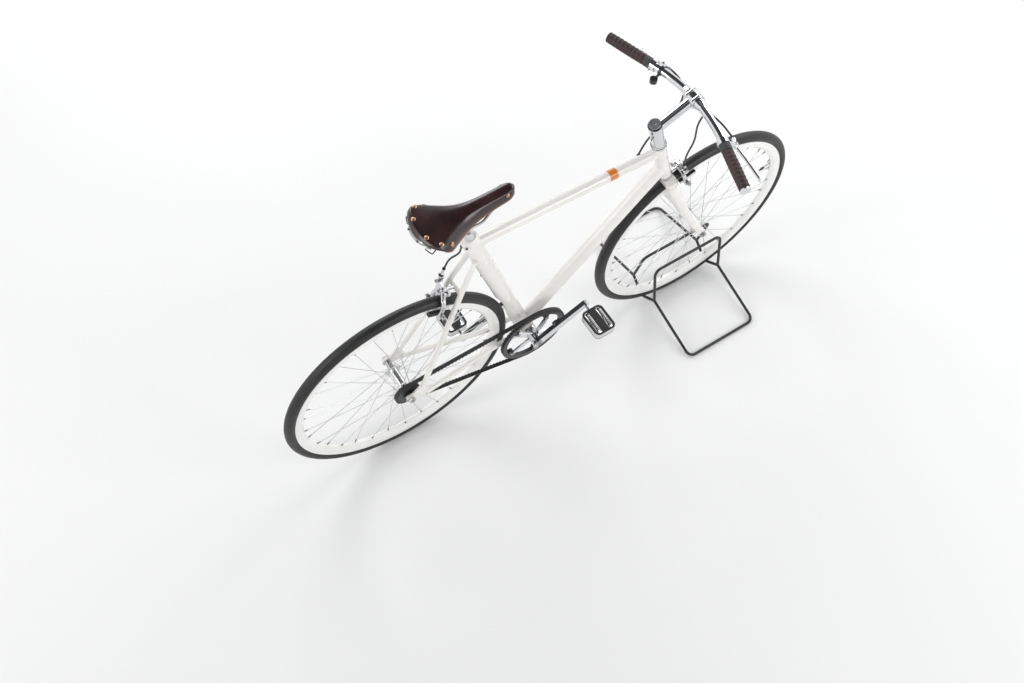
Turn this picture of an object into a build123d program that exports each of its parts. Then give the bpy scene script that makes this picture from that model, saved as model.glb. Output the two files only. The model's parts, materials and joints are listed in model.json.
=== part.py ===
from build123d import *
import math
import os

# City bicycle with a belt drive, standing in a wire display stand.
# Frame of reference: +X forward, +Y to the rider's left, +Z up, millimetres.
# The origin is on the floor, half way between the two wheels.

# ---------------------------------------------------------------- driving sizes
wheelbase = 997.0
bead_d = 622.0            # bead seat diameter of the rims
tyre_w = 32.0             # tyre section, width and height
tread_bands = 4           # flat bands across the tread
bead_w = 14.0             # tyre width at the bead seat
rim_w = 24.0
rim_flange_h = 6.0        # rim flange above the bead seat
rim_depth = 28.0
rim_wall = 1.6
spoke_d = 2.0
spoke_count = 32
spoke_crosses = 3
seat_gap = 0.2            # gap left between pieces that only rest on each other
running_gap = 0.05        # radial clearance of a shaft in its bearing

chainstay_l = 410.5
bb_drop = 59.0            # bottom bracket below the wheel axles
bb_shell_d = 42.0
bb_shell_w = 68.0
seat_angle = 73.2
seat_tube_l = 600.0
seat_tube_depth = 48.0    # fore-aft
seat_tube_w = 31.0
seat_tube_set_back = 5.0  # its section lies behind the seat post's axis
seat_post_d = 27.2
seat_post_insert = 120.0
seat_post_rise = 74.0     # out of the seat tube, up to the rail clamp
post_clamp_d = 26.0
rail_spread = 22.0        # rails from the middle plane at the clamp
tyre_clearance = 8.0
head_angle = 73.5
fork_rake = 56.0
head_tube_d = 38.0
head_tube_bore = 32.0
steerer_d = 28.6
crown_clearance = 8.0     # tyre to the underside of the fork crown
crown_h = 18.0
crown_depth = 34.0
crown_w = 84.0
blade_bend_r = 600.0
blade_depth_top = 34.0
blade_depth_foot = 22.0
blade_thick_top = 20.0
blade_thick_foot = 11.0
blade_spread = 33.0       # blades from the middle plane at the crown
cup_h = 9.0
cup_d = 41.0
head_tube_l = 152.0
top_tube_d = 28.6
top_tube_seat_drop = 38.0 # below the top of the seat tube
top_tube_head_drop = 31.0  # below the top of the head tube
down_tube_d = 40.0
down_tube_head_rise = 47.5  # above the bottom of the head tube
down_tube_bb_rise = 10.0
seatstay_d = 15.0
seatstay_set_back = -24.0  # behind the seat post's axis
bridge_over = 30.9        # brake bridge above the tyre
bridge_d = 12.0
seatstay_drop = 92.0      # its top end below the seat tube's top
chainstay_d = 16.0
rear_axle_w = 126.0       # between the rear dropouts
dropout_t = 6.0
eyelet_x = 24.0           # threaded rack eyelet, ahead of the axle
eyelet_d = 5.0
axle_d = 10.0

belt_pitch = 11.0
pulley_teeth = 60
cog_teeth = 22
belt_line = 49.0          # drive line to the right of the bicycle's middle plane
belt_w = 11.0
tooth_h = 3.2
belt_back = 1.7           # belt outside its pitch line
tip_below_pitch = 0.7
belt_ride_gap = 0.3

crank_l = 170.0
crank_angle = 25.0        # right crank above the horizontal, pointing forward
crank_w_bb = 30.0
crank_w_pedal = 24.0
crank_t = 13.0
crank_y = 78.0            # middle of the crank arms from the middle plane
pedal_y = 146.0
pedal_l = 66.0            # fore-aft
pedal_w = 84.0
pedal_t = 22.0
pedal_axle_d = 10.0

front_axle_w = 100.0
stem_reach = 117.3
stem_rise = 15.3
stem_d = 27.0
stem_clamp_h = 38.0
spacer_h = 53.0
spacer_d = 35.0
top_cap_h = 7.0
top_cap_d = 31.0
bar_d = 22.2
bar_clamp_d = 31.8
bar_bulge_half = 22.0
stem_front_half = 17.0
stem_front_d = 40.0
stem_back_d = 37.0
bar_half_w = 278.0
bar_corner_y = 98.0
bar_corner_back = 4.5
bar_drop = 6.0
bar_fall = 5.0            # the grips' outer ends below the bend
bar_sweep = 16.1
bar_bend_r = 450.0
grip_l = 138.0
grip_d = 28.0
lever_band_d = 30.0
lever_band_w = 14.0
lever_blade_d = 8.0
bell_d = 20.0

saddle_l = 272.0
saddle_w = 144.0
saddle_tail_rise = 68.8   # top of the leather above the rails' clamp
saddle_nose_rise = 56.8
saddle_sag = 9.0          # dip of the middle below a straight line
saddle_nose_ahead = 143.1 # of the rails' clamp
leather_t = 5.0
caliper_stand_off = 30.0  # from the crown or bridge to the middle of the arms
caliper_arm_t = 7.0
caliper_arm_w = 11.0
adjuster_y = 28.0         # barrel adjuster, beside the centre bolt
adjuster_l = 34.0
pad_l = 52.0
pad_h = 11.0
pad_t = 8.0
pad_gap = 2.0             # released pad to the rim
pad_set_back = 9.0        # middle of the pads beyond the arms
rail_d = 7.0
cable_d = 5.0

wire_d = 9.0              # display stand
stand_half_l = 126.0
stand_half_w = 257.0
stand_pinch_y = 56.0
stand_pinch_z = 60.0
stand_hoop_y = 28.5
stand_hoop_z = 196.0
stand_corner_r = 22.0
stand_vee_z = 12.5        # sharp corner of the crossbars under the tyre
stand_vee_r = 14.0

# ---------------------------------------------------------------- derived places
tyre_r = bead_d / 2 + tyre_w
wheel_z = tyre_r
rear_axle = Vector(-wheelbase / 2, 0, wheel_z)
front_axle = Vector(wheelbase / 2, 0, wheel_z)
bb = Vector(rear_axle.X + math.sqrt(chainstay_l**2 - bb_drop**2), 0, wheel_z - bb_drop)

sa = math.radians(seat_angle)
seat_up = Vector(-math.cos(sa), 0, math.sin(sa))
seat_fwd = Vector(math.sin(sa), 0, math.cos(sa))
ha = math.radians(head_angle)
steer_up = Vector(-math.cos(ha), 0, math.sin(ha))
steer_fwd = Vector(math.sin(ha), 0, math.cos(ha))
steer_foot = front_axle - steer_fwd * fork_rake
side = Vector(0, 1, 0)

crown_s = math.sqrt((tyre_r + crown_clearance) ** 2 - fork_rake**2)
cup_s = crown_s + crown_h + seat_gap
head_s = cup_s + cup_h
head_top_s = head_s + head_tube_l
spacer_s = head_top_s + cup_h + seat_gap
stem_s = spacer_s + spacer_h
steerer_top_s = stem_s + stem_clamp_h

pulley_r = pulley_teeth * belt_pitch / (2 * math.pi)
cog_r = cog_teeth * belt_pitch / (2 * math.pi)
ca = math.radians(crank_angle)
crank_dir = Vector(math.cos(ca), 0, math.sin(ca))


def on_seat(s, forward=0.0, y=0.0):
    """A point on the seat tube's axis, s above the bottom bracket."""
    return bb + seat_up * s + seat_fwd * forward + side * y


def on_steerer(s, forward=0.0, y=0.0):
    """A point on the steering axis, s above the level of the front axle."""
    return steer_foot + steer_up * s + steer_fwd * forward + side * y


def rod(p, q, d):
    """A round bar from p to q."""
    return extrude(Plane(origin=p, z_dir=q - p) * Circle(d / 2), (q - p).length)


def ring(p, q, d, bore):
    """A round sleeve from p to q."""
    section = Circle(d / 2) - Circle(bore / 2)
    return extrude(Plane(origin=p, z_dir=q - p) * section, (q - p).length)


def bent_rod(points, radii, d):
    """A round bar that follows straight runs joined by arcs."""
    path = FilletPolyline(*points, radius=radii)
    start = Plane(origin=path @ 0, z_dir=path % 0)
    return sweep(start * Circle(d / 2), path=path)


def housing(points, d):
    """A cable housing: every bend is as wide as the shorter run beside it allows."""
    radii = []
    for before, at, after in zip(points, points[1:], points[2:]):
        arrive, leave = at - before, after - at
        half_turn = math.radians(arrive.get_angle(leave)) / 2
        radii.append(0.45 * min(arrive.length, leave.length) / math.tan(half_turn))
    return bent_rod(points, radii, d)


def across(centre, half, d):
    """A round bar along Y, centred on the point given."""
    return rod(centre - side * half, centre + side * half, d)


# ---------------------------------------------------------------- wheels
def oval(depth, width, end_r):
    """Four tangent arcs: tight ones at the ends, wide ones along the sides."""
    a, b = depth / 2, width / 2
    side_r = (a * a + b * b - 2 * a * end_r) / (2 * (b - end_r))
    reach = Vector(a - end_r, side_r - b).normalized() * end_r
    tx, ty = a - end_r + reach.X, reach.Y
    edges = ThreePointArc((tx, -ty), (a, 0), (tx, ty)) + ThreePointArc((tx, ty), (0, b), (-tx, ty))
    edges += ThreePointArc((-tx, ty), (-a, 0), (-tx, -ty)) + ThreePointArc((-tx, -ty), (0, -b), (tx, -ty))
    return make_face(edges)


def turned(profile, centre):
    """A ring about the Y axis through centre; the profile is drawn in (radius, y)."""
    face = Plane(origin=(0, 0, 0), x_dir=(1, 0, 0), z_dir=(0, 0, 1)) * profile
    return Pos(*centre) * revolve(face, Axis.Y)


def tyre(centre):
    """Bead inside the rim, straight side walls, then a tread of flat bands."""
    bead_r = bead_d / 2 + seat_gap
    round_r = tyre_w / 2
    mid_r = tyre_r - round_r
    outline = [(bead_r, bead_w / 2), (bead_r, -bead_w / 2)]
    for i in range(tread_bands + 1):
        a = math.pi * (i / tread_bands - 0.5)
        outline.append((mid_r + round_r * math.cos(a), round_r * math.sin(a)))
    return turned(make_face(Polyline(*outline, outline[0])), centre)


def rim(centre):
    """Deep section with a raised flange at each edge to hold the tyre."""
    bead_r = bead_d / 2
    flange_r = bead_r + rim_flange_h
    inner_r = flange_r - rim_depth
    half = rim_w / 2
    side_wall = [(flange_r, half), (bead_r - 11, half), (inner_r, half * 0.35)]
    far_wall = [(r, -y) for r, y in reversed(side_wall)]
    well = [(flange_r, rim_wall - half), (bead_r, rim_wall - half), (bead_r, half - rim_wall), (flange_r, half - rim_wall)]
    outline = side_wall + far_wall + well
    return turned(make_face(Polyline(*outline, outline[0])), centre)


def hub(centre, flange_y, flange_r, shell_r, end_y, end_r, bore):
    """A flanged hub shell; the profile runs from one end to the other."""
    t = 3.0
    half = [(end_y, end_r), (flange_y + t / 2 + 2, end_r), (flange_y + t / 2, flange_r),
            (flange_y - t / 2, flange_r), (flange_y - t / 2, shell_r + 2), (flange_y - 9, shell_r)]
    upper = [(r, y) for y, r in half]
    lower = [(r, -y) for y, r in reversed(half)]
    outline = [(bore, end_y)] + upper + lower + [(bore, -end_y), (bore, end_y)]
    return turned(make_face(Polyline(*outline)), centre)


def spokes(centre, flange_y, hole_r):
    """Crossed spokes, alternately inside and outside the two flanges."""
    rim_r = bead_d / 2 + rim_flange_h - rim_depth - seat_gap
    step = 2 * math.pi / spoke_count
    lean = spoke_crosses * 2 * step
    face_gap = 1.5 + spoke_d / 2 + seat_gap
    edge_lift = 1.6          # the outer spokes lean over the flange's edge
    bars = []
    for i in range(spoke_count):
        hand = 1 if i % 2 else -1
        way = 1 if (i // 2) % 2 else -1
        at_rim = i * step
        at_hub = at_rim + way * lean
        y_hub = hand * (flange_y + way * face_gap + (edge_lift if way > 0 else 0))
        y_rim = hand * 2.5
        p = centre + Vector(hole_r * math.cos(at_hub), y_hub, hole_r * math.sin(at_hub))
        q = centre + Vector(rim_r * math.cos(at_rim), y_rim, rim_r * math.sin(at_rim))
        prism = Plane(origin=p, z_dir=q - p) * RegularPolygon(spoke_d / 2, 6)
        bars.append(extrude(prism, (q - p).length))
    return Compound(children=bars)


front_flange_y = 29.0
rear_flange_y = 32.0
flange_hole_r = 19.0


def front_wheel():
    end_y = front_axle_w / 2 - 6
    return {
        "front_tyre": tyre(front_axle),
        "front_rim": rim(front_axle),
        "front_spokes": spokes(front_axle, front_flange_y, flange_hole_r),
        "front_hub": hub(front_axle, front_flange_y, 23, 12, end_y, 12, axle_d / 2 + running_gap),
    }


def toothed(teeth, root_r, tip_r, half_root, half_tip):
    """A closed outline with one trapezoid tooth for each pitch."""
    outline = []
    for i in range(teeth):
        a = 2 * math.pi * i / teeth
        for r, off in ((root_r, -half_root), (tip_r, -half_tip), (tip_r, half_tip), (root_r, half_root)):
            t = a + off / r
            outline.append((r * math.cos(t), r * math.sin(t)))
    return make_face(Polyline(*outline, outline[0]))


def toothed_disc(teeth, pitch_r):
    tip_r = pitch_r - tip_below_pitch
    return toothed(teeth, tip_r - tooth_h, tip_r, belt_pitch * 0.3, belt_pitch * 0.17)


def standing(centre, y0, y1, sketch):
    """Extrudes a sketch drawn in (x, z) about centre from y0 to y1."""
    face = Plane(origin=(centre.X, y0, centre.Z), x_dir=(1, 0, 0), z_dir=(0, -1, 0)) * sketch
    return extrude(face, y0 - y1)


def rear_wheel():
    y0 = -belt_line + belt_w / 2
    y1 = -belt_line - belt_w / 2
    cog = toothed_disc(cog_teeth, cog_r) - Circle(16)
    end_y = 39.0
    driver = ring(rear_axle - side * (end_y + seat_gap), rear_axle + side * (y1 - 3), 32, axle_d + 2 * running_gap)
    return {
        "rear_tyre": tyre(rear_axle),
        "rear_rim": rim(rear_axle),
        "rear_spokes": spokes(rear_axle, rear_flange_y, flange_hole_r),
        "rear_hub": hub(rear_axle, rear_flange_y, 23, 13, end_y, 15, axle_d / 2 + running_gap),
        "rear_cog": standing(rear_axle, y0, y1, cog) + driver,
    }


# ---------------------------------------------------------------- frame
def seat_tube_bar(length):
    """The seat tube's oval section, extruded from the bottom bracket."""
    section = Pos(-seat_tube_set_back, 0) * oval(seat_tube_depth, seat_tube_w, seat_tube_w * 0.31)
    return extrude(Plane(origin=bb, x_dir=seat_fwd, z_dir=seat_up) * section, length)


def seat_tube():
    tube = seat_tube_bar(seat_tube_l)
    bore = rod(on_seat(seat_tube_l - seat_post_insert), on_seat(seat_tube_l + 1), seat_post_d + 2 * seat_gap)
    wheel_room = across(rear_axle, seat_tube_w, 2 * (tyre_r + tyre_clearance))
    return tube - bore - wheel_room - across(bb, seat_tube_w, bb_shell_d)


def frame_tubes():
    shell = ring(bb - side * bb_shell_w / 2, bb + side * bb_shell_w / 2, bb_shell_d, 35)
    head = ring(on_steerer(head_s), on_steerer(head_top_s), head_tube_d, head_tube_bore)
    head_room = rod(on_steerer(head_s - 40), on_steerer(head_top_s + 40), head_tube_d)
    seat = seat_tube()
    seat_room = seat_tube_bar(seat_tube_l + 40)
    top = rod(on_seat(seat_tube_l - top_tube_seat_drop), on_steerer(head_top_s - top_tube_head_drop), top_tube_d)
    down = rod(bb + Vector(0, 0, down_tube_bb_rise), on_steerer(head_s + down_tube_head_rise), down_tube_d)
    shell_room = across(bb, bb_shell_w, bb_shell_d)
    return {
        "head_tube": head,
        "seat_tube": seat,
        "top_tube": top - head_room - seat_room,
        "down_tube": down - head_room - seat_room - shell_room,
        "bottom_bracket_shell": shell,
    }


def stay_line(hand):
    """Chain stay: inboard beside the pulley, then out to the dropout."""
    y_in = 30.3
    y_out = rear_axle_w / 2 + dropout_t / 2
    inner = bb + Vector(-24, hand * (y_in - 3), 0)
    bend = bb + Vector(-125, hand * y_in, 6)
    outer = rear_axle + Vector(46, hand * y_out, -14)
    return inner, bend, outer


def seatstay_line(hand):
    top = on_seat(seat_tube_l - seatstay_drop, seatstay_set_back, hand * 15)
    foot = rear_axle + Vector(38, hand * (rear_axle_w / 2 + dropout_t / 2), 24)
    return top, foot


def bridge_point(hand):
    """Where the brake bridge meets the seat stay, a set height over the tyre."""
    top, foot = seatstay_line(hand)
    up = (top - foot).normalized()
    dx, dz = foot.X - rear_axle.X, foot.Z - rear_axle.Z
    a = up.X ** 2 + up.Z ** 2
    b = up.X * dx + up.Z * dz
    c = dx ** 2 + dz ** 2 - (tyre_r + bridge_over) ** 2
    return foot + up * ((math.sqrt(b * b - a * c) - b) / a)


def stays():
    nodes = {}
    shell_room = across(bb, bb_shell_w, bb_shell_d)
    seat_room = seat_tube_bar(seat_tube_l)
    for name, hand in (("left", 1), ("right", -1)):
        chain = bent_rod(stay_line(hand), [160], chainstay_d)
        plate = dropout(hand)
        nodes[f"dropout_{name}"] = plate
        nodes[f"chainstay_{name}"] = chain - shell_room - seat_room - plate
        top, foot = seatstay_line(hand)
        nodes[f"seatstay_{name}"] = rod(top, foot, seatstay_d) - seat_room - plate
    left, right = bridge_point(1), bridge_point(-1)
    bridge = rod(left, right, bridge_d) - nodes["seatstay_left"] - nodes["seatstay_right"]
    nodes["brake_bridge"] = bridge.solids().sort_by(SortBy.VOLUME)[-1]
    return nodes


def dropout(hand):
    outline = Polyline((-14, -12), (10, -17), (52, -24), (56, -4), (50, 16), (44, 36), (30, 36), (6, 16), (-14, 12), (-14, -12))
    plate = make_face(outline) - Pos(-6, 0) * SlotOverall(28, axle_d + 2 * seat_gap)
    plate -= Pos(eyelet_x, 0) * Circle(eyelet_d / 2)
    y0 = hand * rear_axle_w / 2
    y1 = hand * (rear_axle_w / 2 + dropout_t)
    return standing(rear_axle, max(y0, y1), min(y0, y1), plate)


def belt():
    """Flat band round pulley and cog, with teeth on its two straight runs."""
    outer = []
    half = belt_w / 2
    dist = (rear_axle - bb).length
    slope = math.asin((pulley_r - cog_r) / dist)
    line = math.atan2(rear_axle.Z - bb.Z, rear_axle.X - bb.X)
    def loop(extra):
        big, small = pulley_r + extra, cog_r + extra
        pts = []
        for sgn in (1, -1):
            a = line + sgn * (math.pi / 2 - slope)
            pts.append((Vector(bb.X + big * math.cos(a), bb.Z + big * math.sin(a)),
                        Vector(rear_axle.X + small * math.cos(a), rear_axle.Z + small * math.sin(a))))
        (a0, a1), (b0, b1) = pts
        far_big = (bb.X - big * math.cos(line), bb.Z - big * math.sin(line))
        far_small = (rear_axle.X + small * math.cos(line), rear_axle.Z + small * math.sin(line))
        edges = Line((a0.X, a0.Y), (a1.X, a1.Y)) + ThreePointArc((a1.X, a1.Y), far_small, (b1.X, b1.Y))
        edges += Line((b1.X, b1.Y), (b0.X, b0.Y)) + ThreePointArc((b0.X, b0.Y), far_big, (a0.X, a0.Y))
        return make_face(edges), pts
    outside, _ = loop(belt_back)
    inside, runs = loop(belt_ride_gap - tip_below_pitch)
    band = outside - inside
    for p, q in runs:
        along = (q - p).normalized()
        inward = Vector(-along.Y, along.X)
        if inward.dot(Vector((bb.X + rear_axle.X) / 2, (bb.Z + rear_axle.Z) / 2) - p) < 0:
            inward = inward * -1
        length = (q - p).length
        first = 34.0
        count = int((length - first - 26) / belt_pitch)
        for i in range(count):
            m = p + along * (first + i * belt_pitch)
            lo, hi = belt_pitch * 0.28, belt_pitch * 0.17
            corners = [m - along * lo - inward * 0.4, m - along * hi + inward * (tooth_h - 0.4),
                       m + along * hi + inward * (tooth_h - 0.4), m + along * lo - inward * 0.4]
            tooth = [(c.X, c.Y) for c in corners]
            band += make_face(Polyline(*tooth, tooth[0]))
    return standing(Vector(0, 0, 0), half - belt_line, -half - belt_line, band)


def rear_axle_set():
    """Axle with its spacers and nuts."""
    end = rear_axle_w / 2
    axle = across(rear_axle, end + dropout_t + 11, axle_d)
    left = ring(rear_axle + side * (39.0 + seat_gap), rear_axle + side * (end - seat_gap), 18, axle_d - 1)
    y_driver = belt_line + belt_w / 2 + 3 + seat_gap
    right = ring(rear_axle - side * y_driver, rear_axle - side * (end - seat_gap), 18, axle_d - 1)
    body = axle + left + right
    for hand in (1, -1):
        face = rear_axle + side * hand * (end + dropout_t + seat_gap)
        body += extrude(Plane(origin=face, z_dir=side * hand) * RegularPolygon(9.5, 6), 9)
    return body


# ---------------------------------------------------------------- saddle and post
rail_clamp = on_seat(seat_tube_l + seat_post_rise)
saddle_tail_z = rail_clamp.Z + saddle_tail_rise
saddle_nose_z = rail_clamp.Z + saddle_nose_rise
saddle_nose_x = rail_clamp.X + saddle_nose_ahead


def seat_post():
    post = rod(on_seat(seat_tube_l - seat_post_insert + 2), on_seat(seat_tube_l + seat_post_rise - 8), seat_post_d)
    body = post + across(rail_clamp, rail_spread + rail_d, post_clamp_d)
    for hand in (1, -1):
        groove = rail_clamp + side * hand * rail_spread
        body -= rod(groove - Vector(40, 0, 0), groove + Vector(40, 0, 0), rail_d + 2 * seat_gap)
    return body


# along the saddle from tail (0) to nose (1): share of the half width, skirt depth
saddle_stations = ((0.0, 0.60, 16), (0.05, 0.84, 24), (0.14, 1.0, 30), (0.26, 0.88, 34), (0.38, 0.52, 34),
                   (0.50, 0.36, 32), (0.70, 0.31, 29), (0.90, 0.27, 26), (0.97, 0.22, 24), (1.0, 0.12, 18))


def saddle_outline(half, z, skirt, inset):
    """Half of a saddle section, from the skirt's edge up to the middle line."""
    return [(half - inset, z - skirt), (half * 0.97 - inset, z - skirt * 0.45),
            (half * 0.8 - inset * 0.8, z - skirt * 0.1 - inset * 0.8), (half * 0.4, z - inset)]


def saddle_shell(stations, inset, thick):
    """A skin of the saddle's form between stations, inset from its surface."""
    tail_x = saddle_nose_x - saddle_l
    sections = []
    for t, share, skirt in stations:
        z = saddle_tail_z + (saddle_nose_z - saddle_tail_z) * t - saddle_sag * math.sin(math.pi * t)
        if t in (0.0, 1.0):
            z -= 7
        half = share * saddle_w / 2
        outer = saddle_outline(half, z, skirt, inset)
        inner = saddle_outline(half, z, skirt, inset + thick)
        right = [(-y, h) for y, h in outer]
        right_inner = [(-y, h) for y, h in inner]
        loop = right + outer[::-1] + inner + right_inner[::-1]
        plane = Plane(origin=(tail_x + saddle_l * t, 0, 0), x_dir=(0, 1, 0), z_dir=(1, 0, 0))
        sections.append(plane * make_face(Polyline(*loop, loop[0])))
    return loft(sections, ruled=True)


def saddle_leather():
    return saddle_shell(saddle_stations, 0, leather_t)


def saddle_rails():
    """Two rails between the cantle plate under the tail and the nose piece."""
    seat = leather_t + seat_gap
    cantle = saddle_shell(saddle_stations[:2], seat, 3)
    nose = saddle_shell(saddle_stations[7:9], seat, 3)
    tail_x = saddle_nose_x - saddle_l
    nose_x = tail_x + saddle_l * 0.935
    body = cantle + nose
    for hand in (1, -1):
        run = [Vector(nose_x, hand * 6, saddle_nose_z - 16), Vector(rail_clamp.X + 45, hand * rail_spread, rail_clamp.Z),
               Vector(rail_clamp.X - 45, hand * rail_spread, rail_clamp.Z), Vector(tail_x + 9, hand * 42, saddle_tail_z - 21)]
        body += bent_rod(run, [30, 30], rail_d)
    return body + Pos(nose_x, 0, saddle_nose_z - 16) * Box(12, 16, 12)


# ---------------------------------------------------------------- brakes
def caliper(axle, root, forward, cable_hand):
    """Dual-pivot caliper over the wheel; its bolt leaves the root along forward.

    One arm holds the pad away from the cable and reaches over to the cable's
    anchor. The other holds the near pad, turns on a pivot of its own and carries
    the barrel adjuster. Returns the caliper and the point where the cable enters.
    """
    at = root + forward * caliper_stand_off
    out = (at - axle).normalized()
    across_way = side * -cable_hand
    front = across_way.cross(out).normalized()
    plane = Plane(origin=axle, x_dir=across_way, z_dir=front)
    turn_out = 1 if front.dot(forward) > 0 else -1
    bolt_r = (at - axle).length
    arch_r = tyre_w / 2 + 6
    mid_r = tyre_r - tyre_w / 2
    outer_r = arch_r + caliper_arm_w
    rim_mid = bead_d / 2 - 4
    leg_h = mid_r - rim_mid + 14

    def arm(hand, lugs):
        quarter = Pos(hand * (outer_r - 2) / 2, mid_r + outer_r / 2) * Rectangle(outer_r + 2, outer_r)
        arch = Pos(0, mid_r) * (Circle(outer_r) - Circle(arch_r)) & quarter
        leg = Pos(hand * (arch_r + outer_r) / 2, mid_r - leg_h / 2) * Rectangle(caliper_arm_w, leg_h)
        return arch + leg + lugs

    def link(p, q, r0, r1):
        return make_hull((Pos(*p) * Circle(r0) + Pos(*q) * Circle(r1)).edges())

    crest = mid_r + (arch_r + outer_r) / 2
    centre = (0, bolt_r)
    pivot = (14, bolt_r - 2)
    anchor = (-adjuster_y, bolt_r + 4)
    stop = (-adjuster_y, bolt_r + 20)
    far_arm = arm(1, link(centre, (14, crest - 3), 9, 7) + link(centre, anchor, 8, 5))
    near_arm = arm(-1, link(pivot, (-12, crest), 8, 6) + link((-22, crest - 10), stop, 6, 5))
    t = caliper_arm_t * turn_out
    body = extrude(plane * far_arm, t) + extrude(plane * near_arm, -t)
    pads = plane.offset(pad_set_back * turn_out)
    for hand in (1, -1):
        pad_x = hand * (rim_w / 2 + pad_gap + pad_t / 2)
        body += extrude(pads * (Pos(pad_x, rim_mid) * Rectangle(pad_t, pad_h)), pad_l / 2, both=True)
        stud = axle + out * rim_mid + side * hand * (rim_w / 2 + pad_gap + 3)
        body += rod(stud, stud + side * hand * 26, 7)
    body += rod(root + forward * seat_gap, at + forward * 14, 9)
    pin = axle + across_way * pivot[0] + out * pivot[1]
    body += rod(pin - front * (t + 2 * turn_out), pin + front * (t + 3 * turn_out), 8)
    foot = axle - across_way * adjuster_y + out * (stop[1] - 4) + front * (2 * turn_out)
    tip = foot + out * adjuster_l
    body += rod(foot, tip, 8) + ring(foot + out * 8, foot + out * 15, 12, 7)
    return body, tip + out * seat_gap


# ---------------------------------------------------------------- drive
def cranks():
    """Spindle, both arms and the spider that carries the pulley."""
    spindle = across(bb, crank_y - crank_t / 2 + 6, 24)
    nodes = {"crank_spindle": spindle}
    for name, hand in (("right", -1), ("left", 1)):
        way = crank_dir * (-hand)
        inner_y = crank_y - crank_t / 2
        hole = bb + side * hand * inner_y
        end = bb + way * crank_l + side * hand * inner_y
        plane = Plane(origin=hole, x_dir=way, z_dir=side * hand)
        arm = make_hull((Circle(crank_w_bb / 2) + Pos(crank_l, 0) * Circle(crank_w_pedal / 2)).edges())
        body = extrude(plane * arm, crank_t)
        boss = ring(bb + side * hand * (bb_shell_w / 2 + 20), hole, 36, 24 + 2 * seat_gap)
        body -= rod(hole - side * hand, hole + side * hand * (6 + seat_gap), 24 + 2 * seat_gap)
        axle = rod(end + side * hand * crank_t, bb + way * crank_l + side * hand * (pedal_y + pedal_w / 2 - 10), pedal_axle_d)
        nodes[f"crank_{name}"] = body + boss + axle
    spider = None
    tab_r = 65.0
    y_out = belt_line + belt_w / 2
    for i in range(5):
        a = ca + math.radians(36) + 2 * math.pi * i / 5
        radial = Vector(math.cos(a), 0, math.sin(a))
        base = bb - side * (y_out + seat_gap)
        leg_plane = Plane(origin=base, x_dir=radial, z_dir=side * -1)
        leg = extrude(leg_plane * make_hull((Pos(16, 0) * Circle(9) + Pos(tab_r + 14, 0) * Circle(7)).edges()), 5)
        spider = leg if spider is None else spider + leg
    nodes["crank_right"] += spider - across(bb, 100, 34)
    ring_shape = toothed_disc(pulley_teeth, pulley_r) - Circle(pulley_r - 16)
    for i in range(5):
        a = ca + math.radians(36) + 2 * math.pi * i / 5
        ring_shape += Pos((pulley_r - 22) * math.cos(a), (pulley_r - 22) * math.sin(a)) * Circle(10)
    nodes["front_pulley"] = standing(bb, -belt_line + belt_w / 2, -belt_line - belt_w / 2, ring_shape)
    return nodes


def pedals():
    nodes = {}
    for name, hand in (("right", -1), ("left", 1)):
        end = bb + crank_dir * (-hand) * crank_l
        bore_end = pedal_y + pedal_w / 2 - 10 + seat_gap
        bore = rod(end + side * hand * crank_y, end + side * hand * bore_end, pedal_axle_d + 2 * running_gap)
        frame = RectangleRounded(pedal_l, pedal_w, 14) - RectangleRounded(pedal_l - 12, pedal_w - 12, 9)
        bar = Rectangle(22, pedal_w - 8)
        body = Pos(end.X, hand * pedal_y, end.Z) * extrude(frame + bar, pedal_t / 2, both=True)
        nodes[f"pedal_{name}"] = body - bore
    return nodes


def bb_cups():
    body = []
    for hand in (1, -1):
        body.append(ring(bb + side * hand * (bb_shell_w / 2 + seat_gap), bb + side * hand * (bb_shell_w / 2 + 5), 40, 24 + 2 * running_gap))
    return Compound(children=body)


# ---------------------------------------------------------------- fork and cockpit
def fork():
    plane = Plane(origin=on_steerer(crown_s), x_dir=side, z_dir=steer_up)
    crown = extrude(plane * SlotOverall(crown_w, crown_depth), crown_h)
    steerer = rod(on_steerer(crown_s + crown_h), on_steerer(steerer_top_s), steerer_d)
    nodes = {"fork_crown": crown + steerer}
    tab_t = 6.0
    for name, hand in (("left", 1), ("right", -1)):
        top = on_steerer(crown_s, 0, hand * blade_spread)
        bend = on_steerer(175, 17, hand * 42)
        foot = front_axle + side * hand * (front_axle_w / 2 + tab_t - 1)
        path = FilletPolyline(top, bend, foot, radius=blade_bend_r)
        sections = []
        for t in (0, 0.25, 0.5, 0.75, 1.0):
            depth = blade_depth_top + (blade_depth_foot - blade_depth_top) * t
            thick = blade_thick_top + (blade_thick_foot - blade_thick_top) * t
            at = path @ t
            sections.append(Plane(origin=at, x_dir=steer_fwd, z_dir=(path % t) * -1) * oval(depth, thick, thick * 0.31))
        blade = loft(sections, ruled=True)
        y0 = hand * front_axle_w / 2
        y1 = hand * (front_axle_w / 2 + tab_t)
        tab = standing(front_axle, max(y0, y1), min(y0, y1), Circle(13) - Circle(axle_d / 2 + seat_gap))
        room = across(front_axle, front_axle_w, 26)
        nodes[f"fork_blade_{name}"] = (blade - room - crown) + tab
    return nodes


def front_axle_set():
    end = front_axle_w / 2
    tab_t = 6.0
    body = across(front_axle, end + tab_t + 11, axle_d)
    for hand in (1, -1):
        inner = front_axle + side * hand * (end - 6 + seat_gap)
        body += ring(inner, front_axle + side * hand * (end - seat_gap), 17, axle_d - 1)
        face = front_axle + side * hand * (end + tab_t + seat_gap)
        body += extrude(Plane(origin=face, z_dir=side * hand) * RegularPolygon(9.0, 6), 9)
    return body


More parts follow.
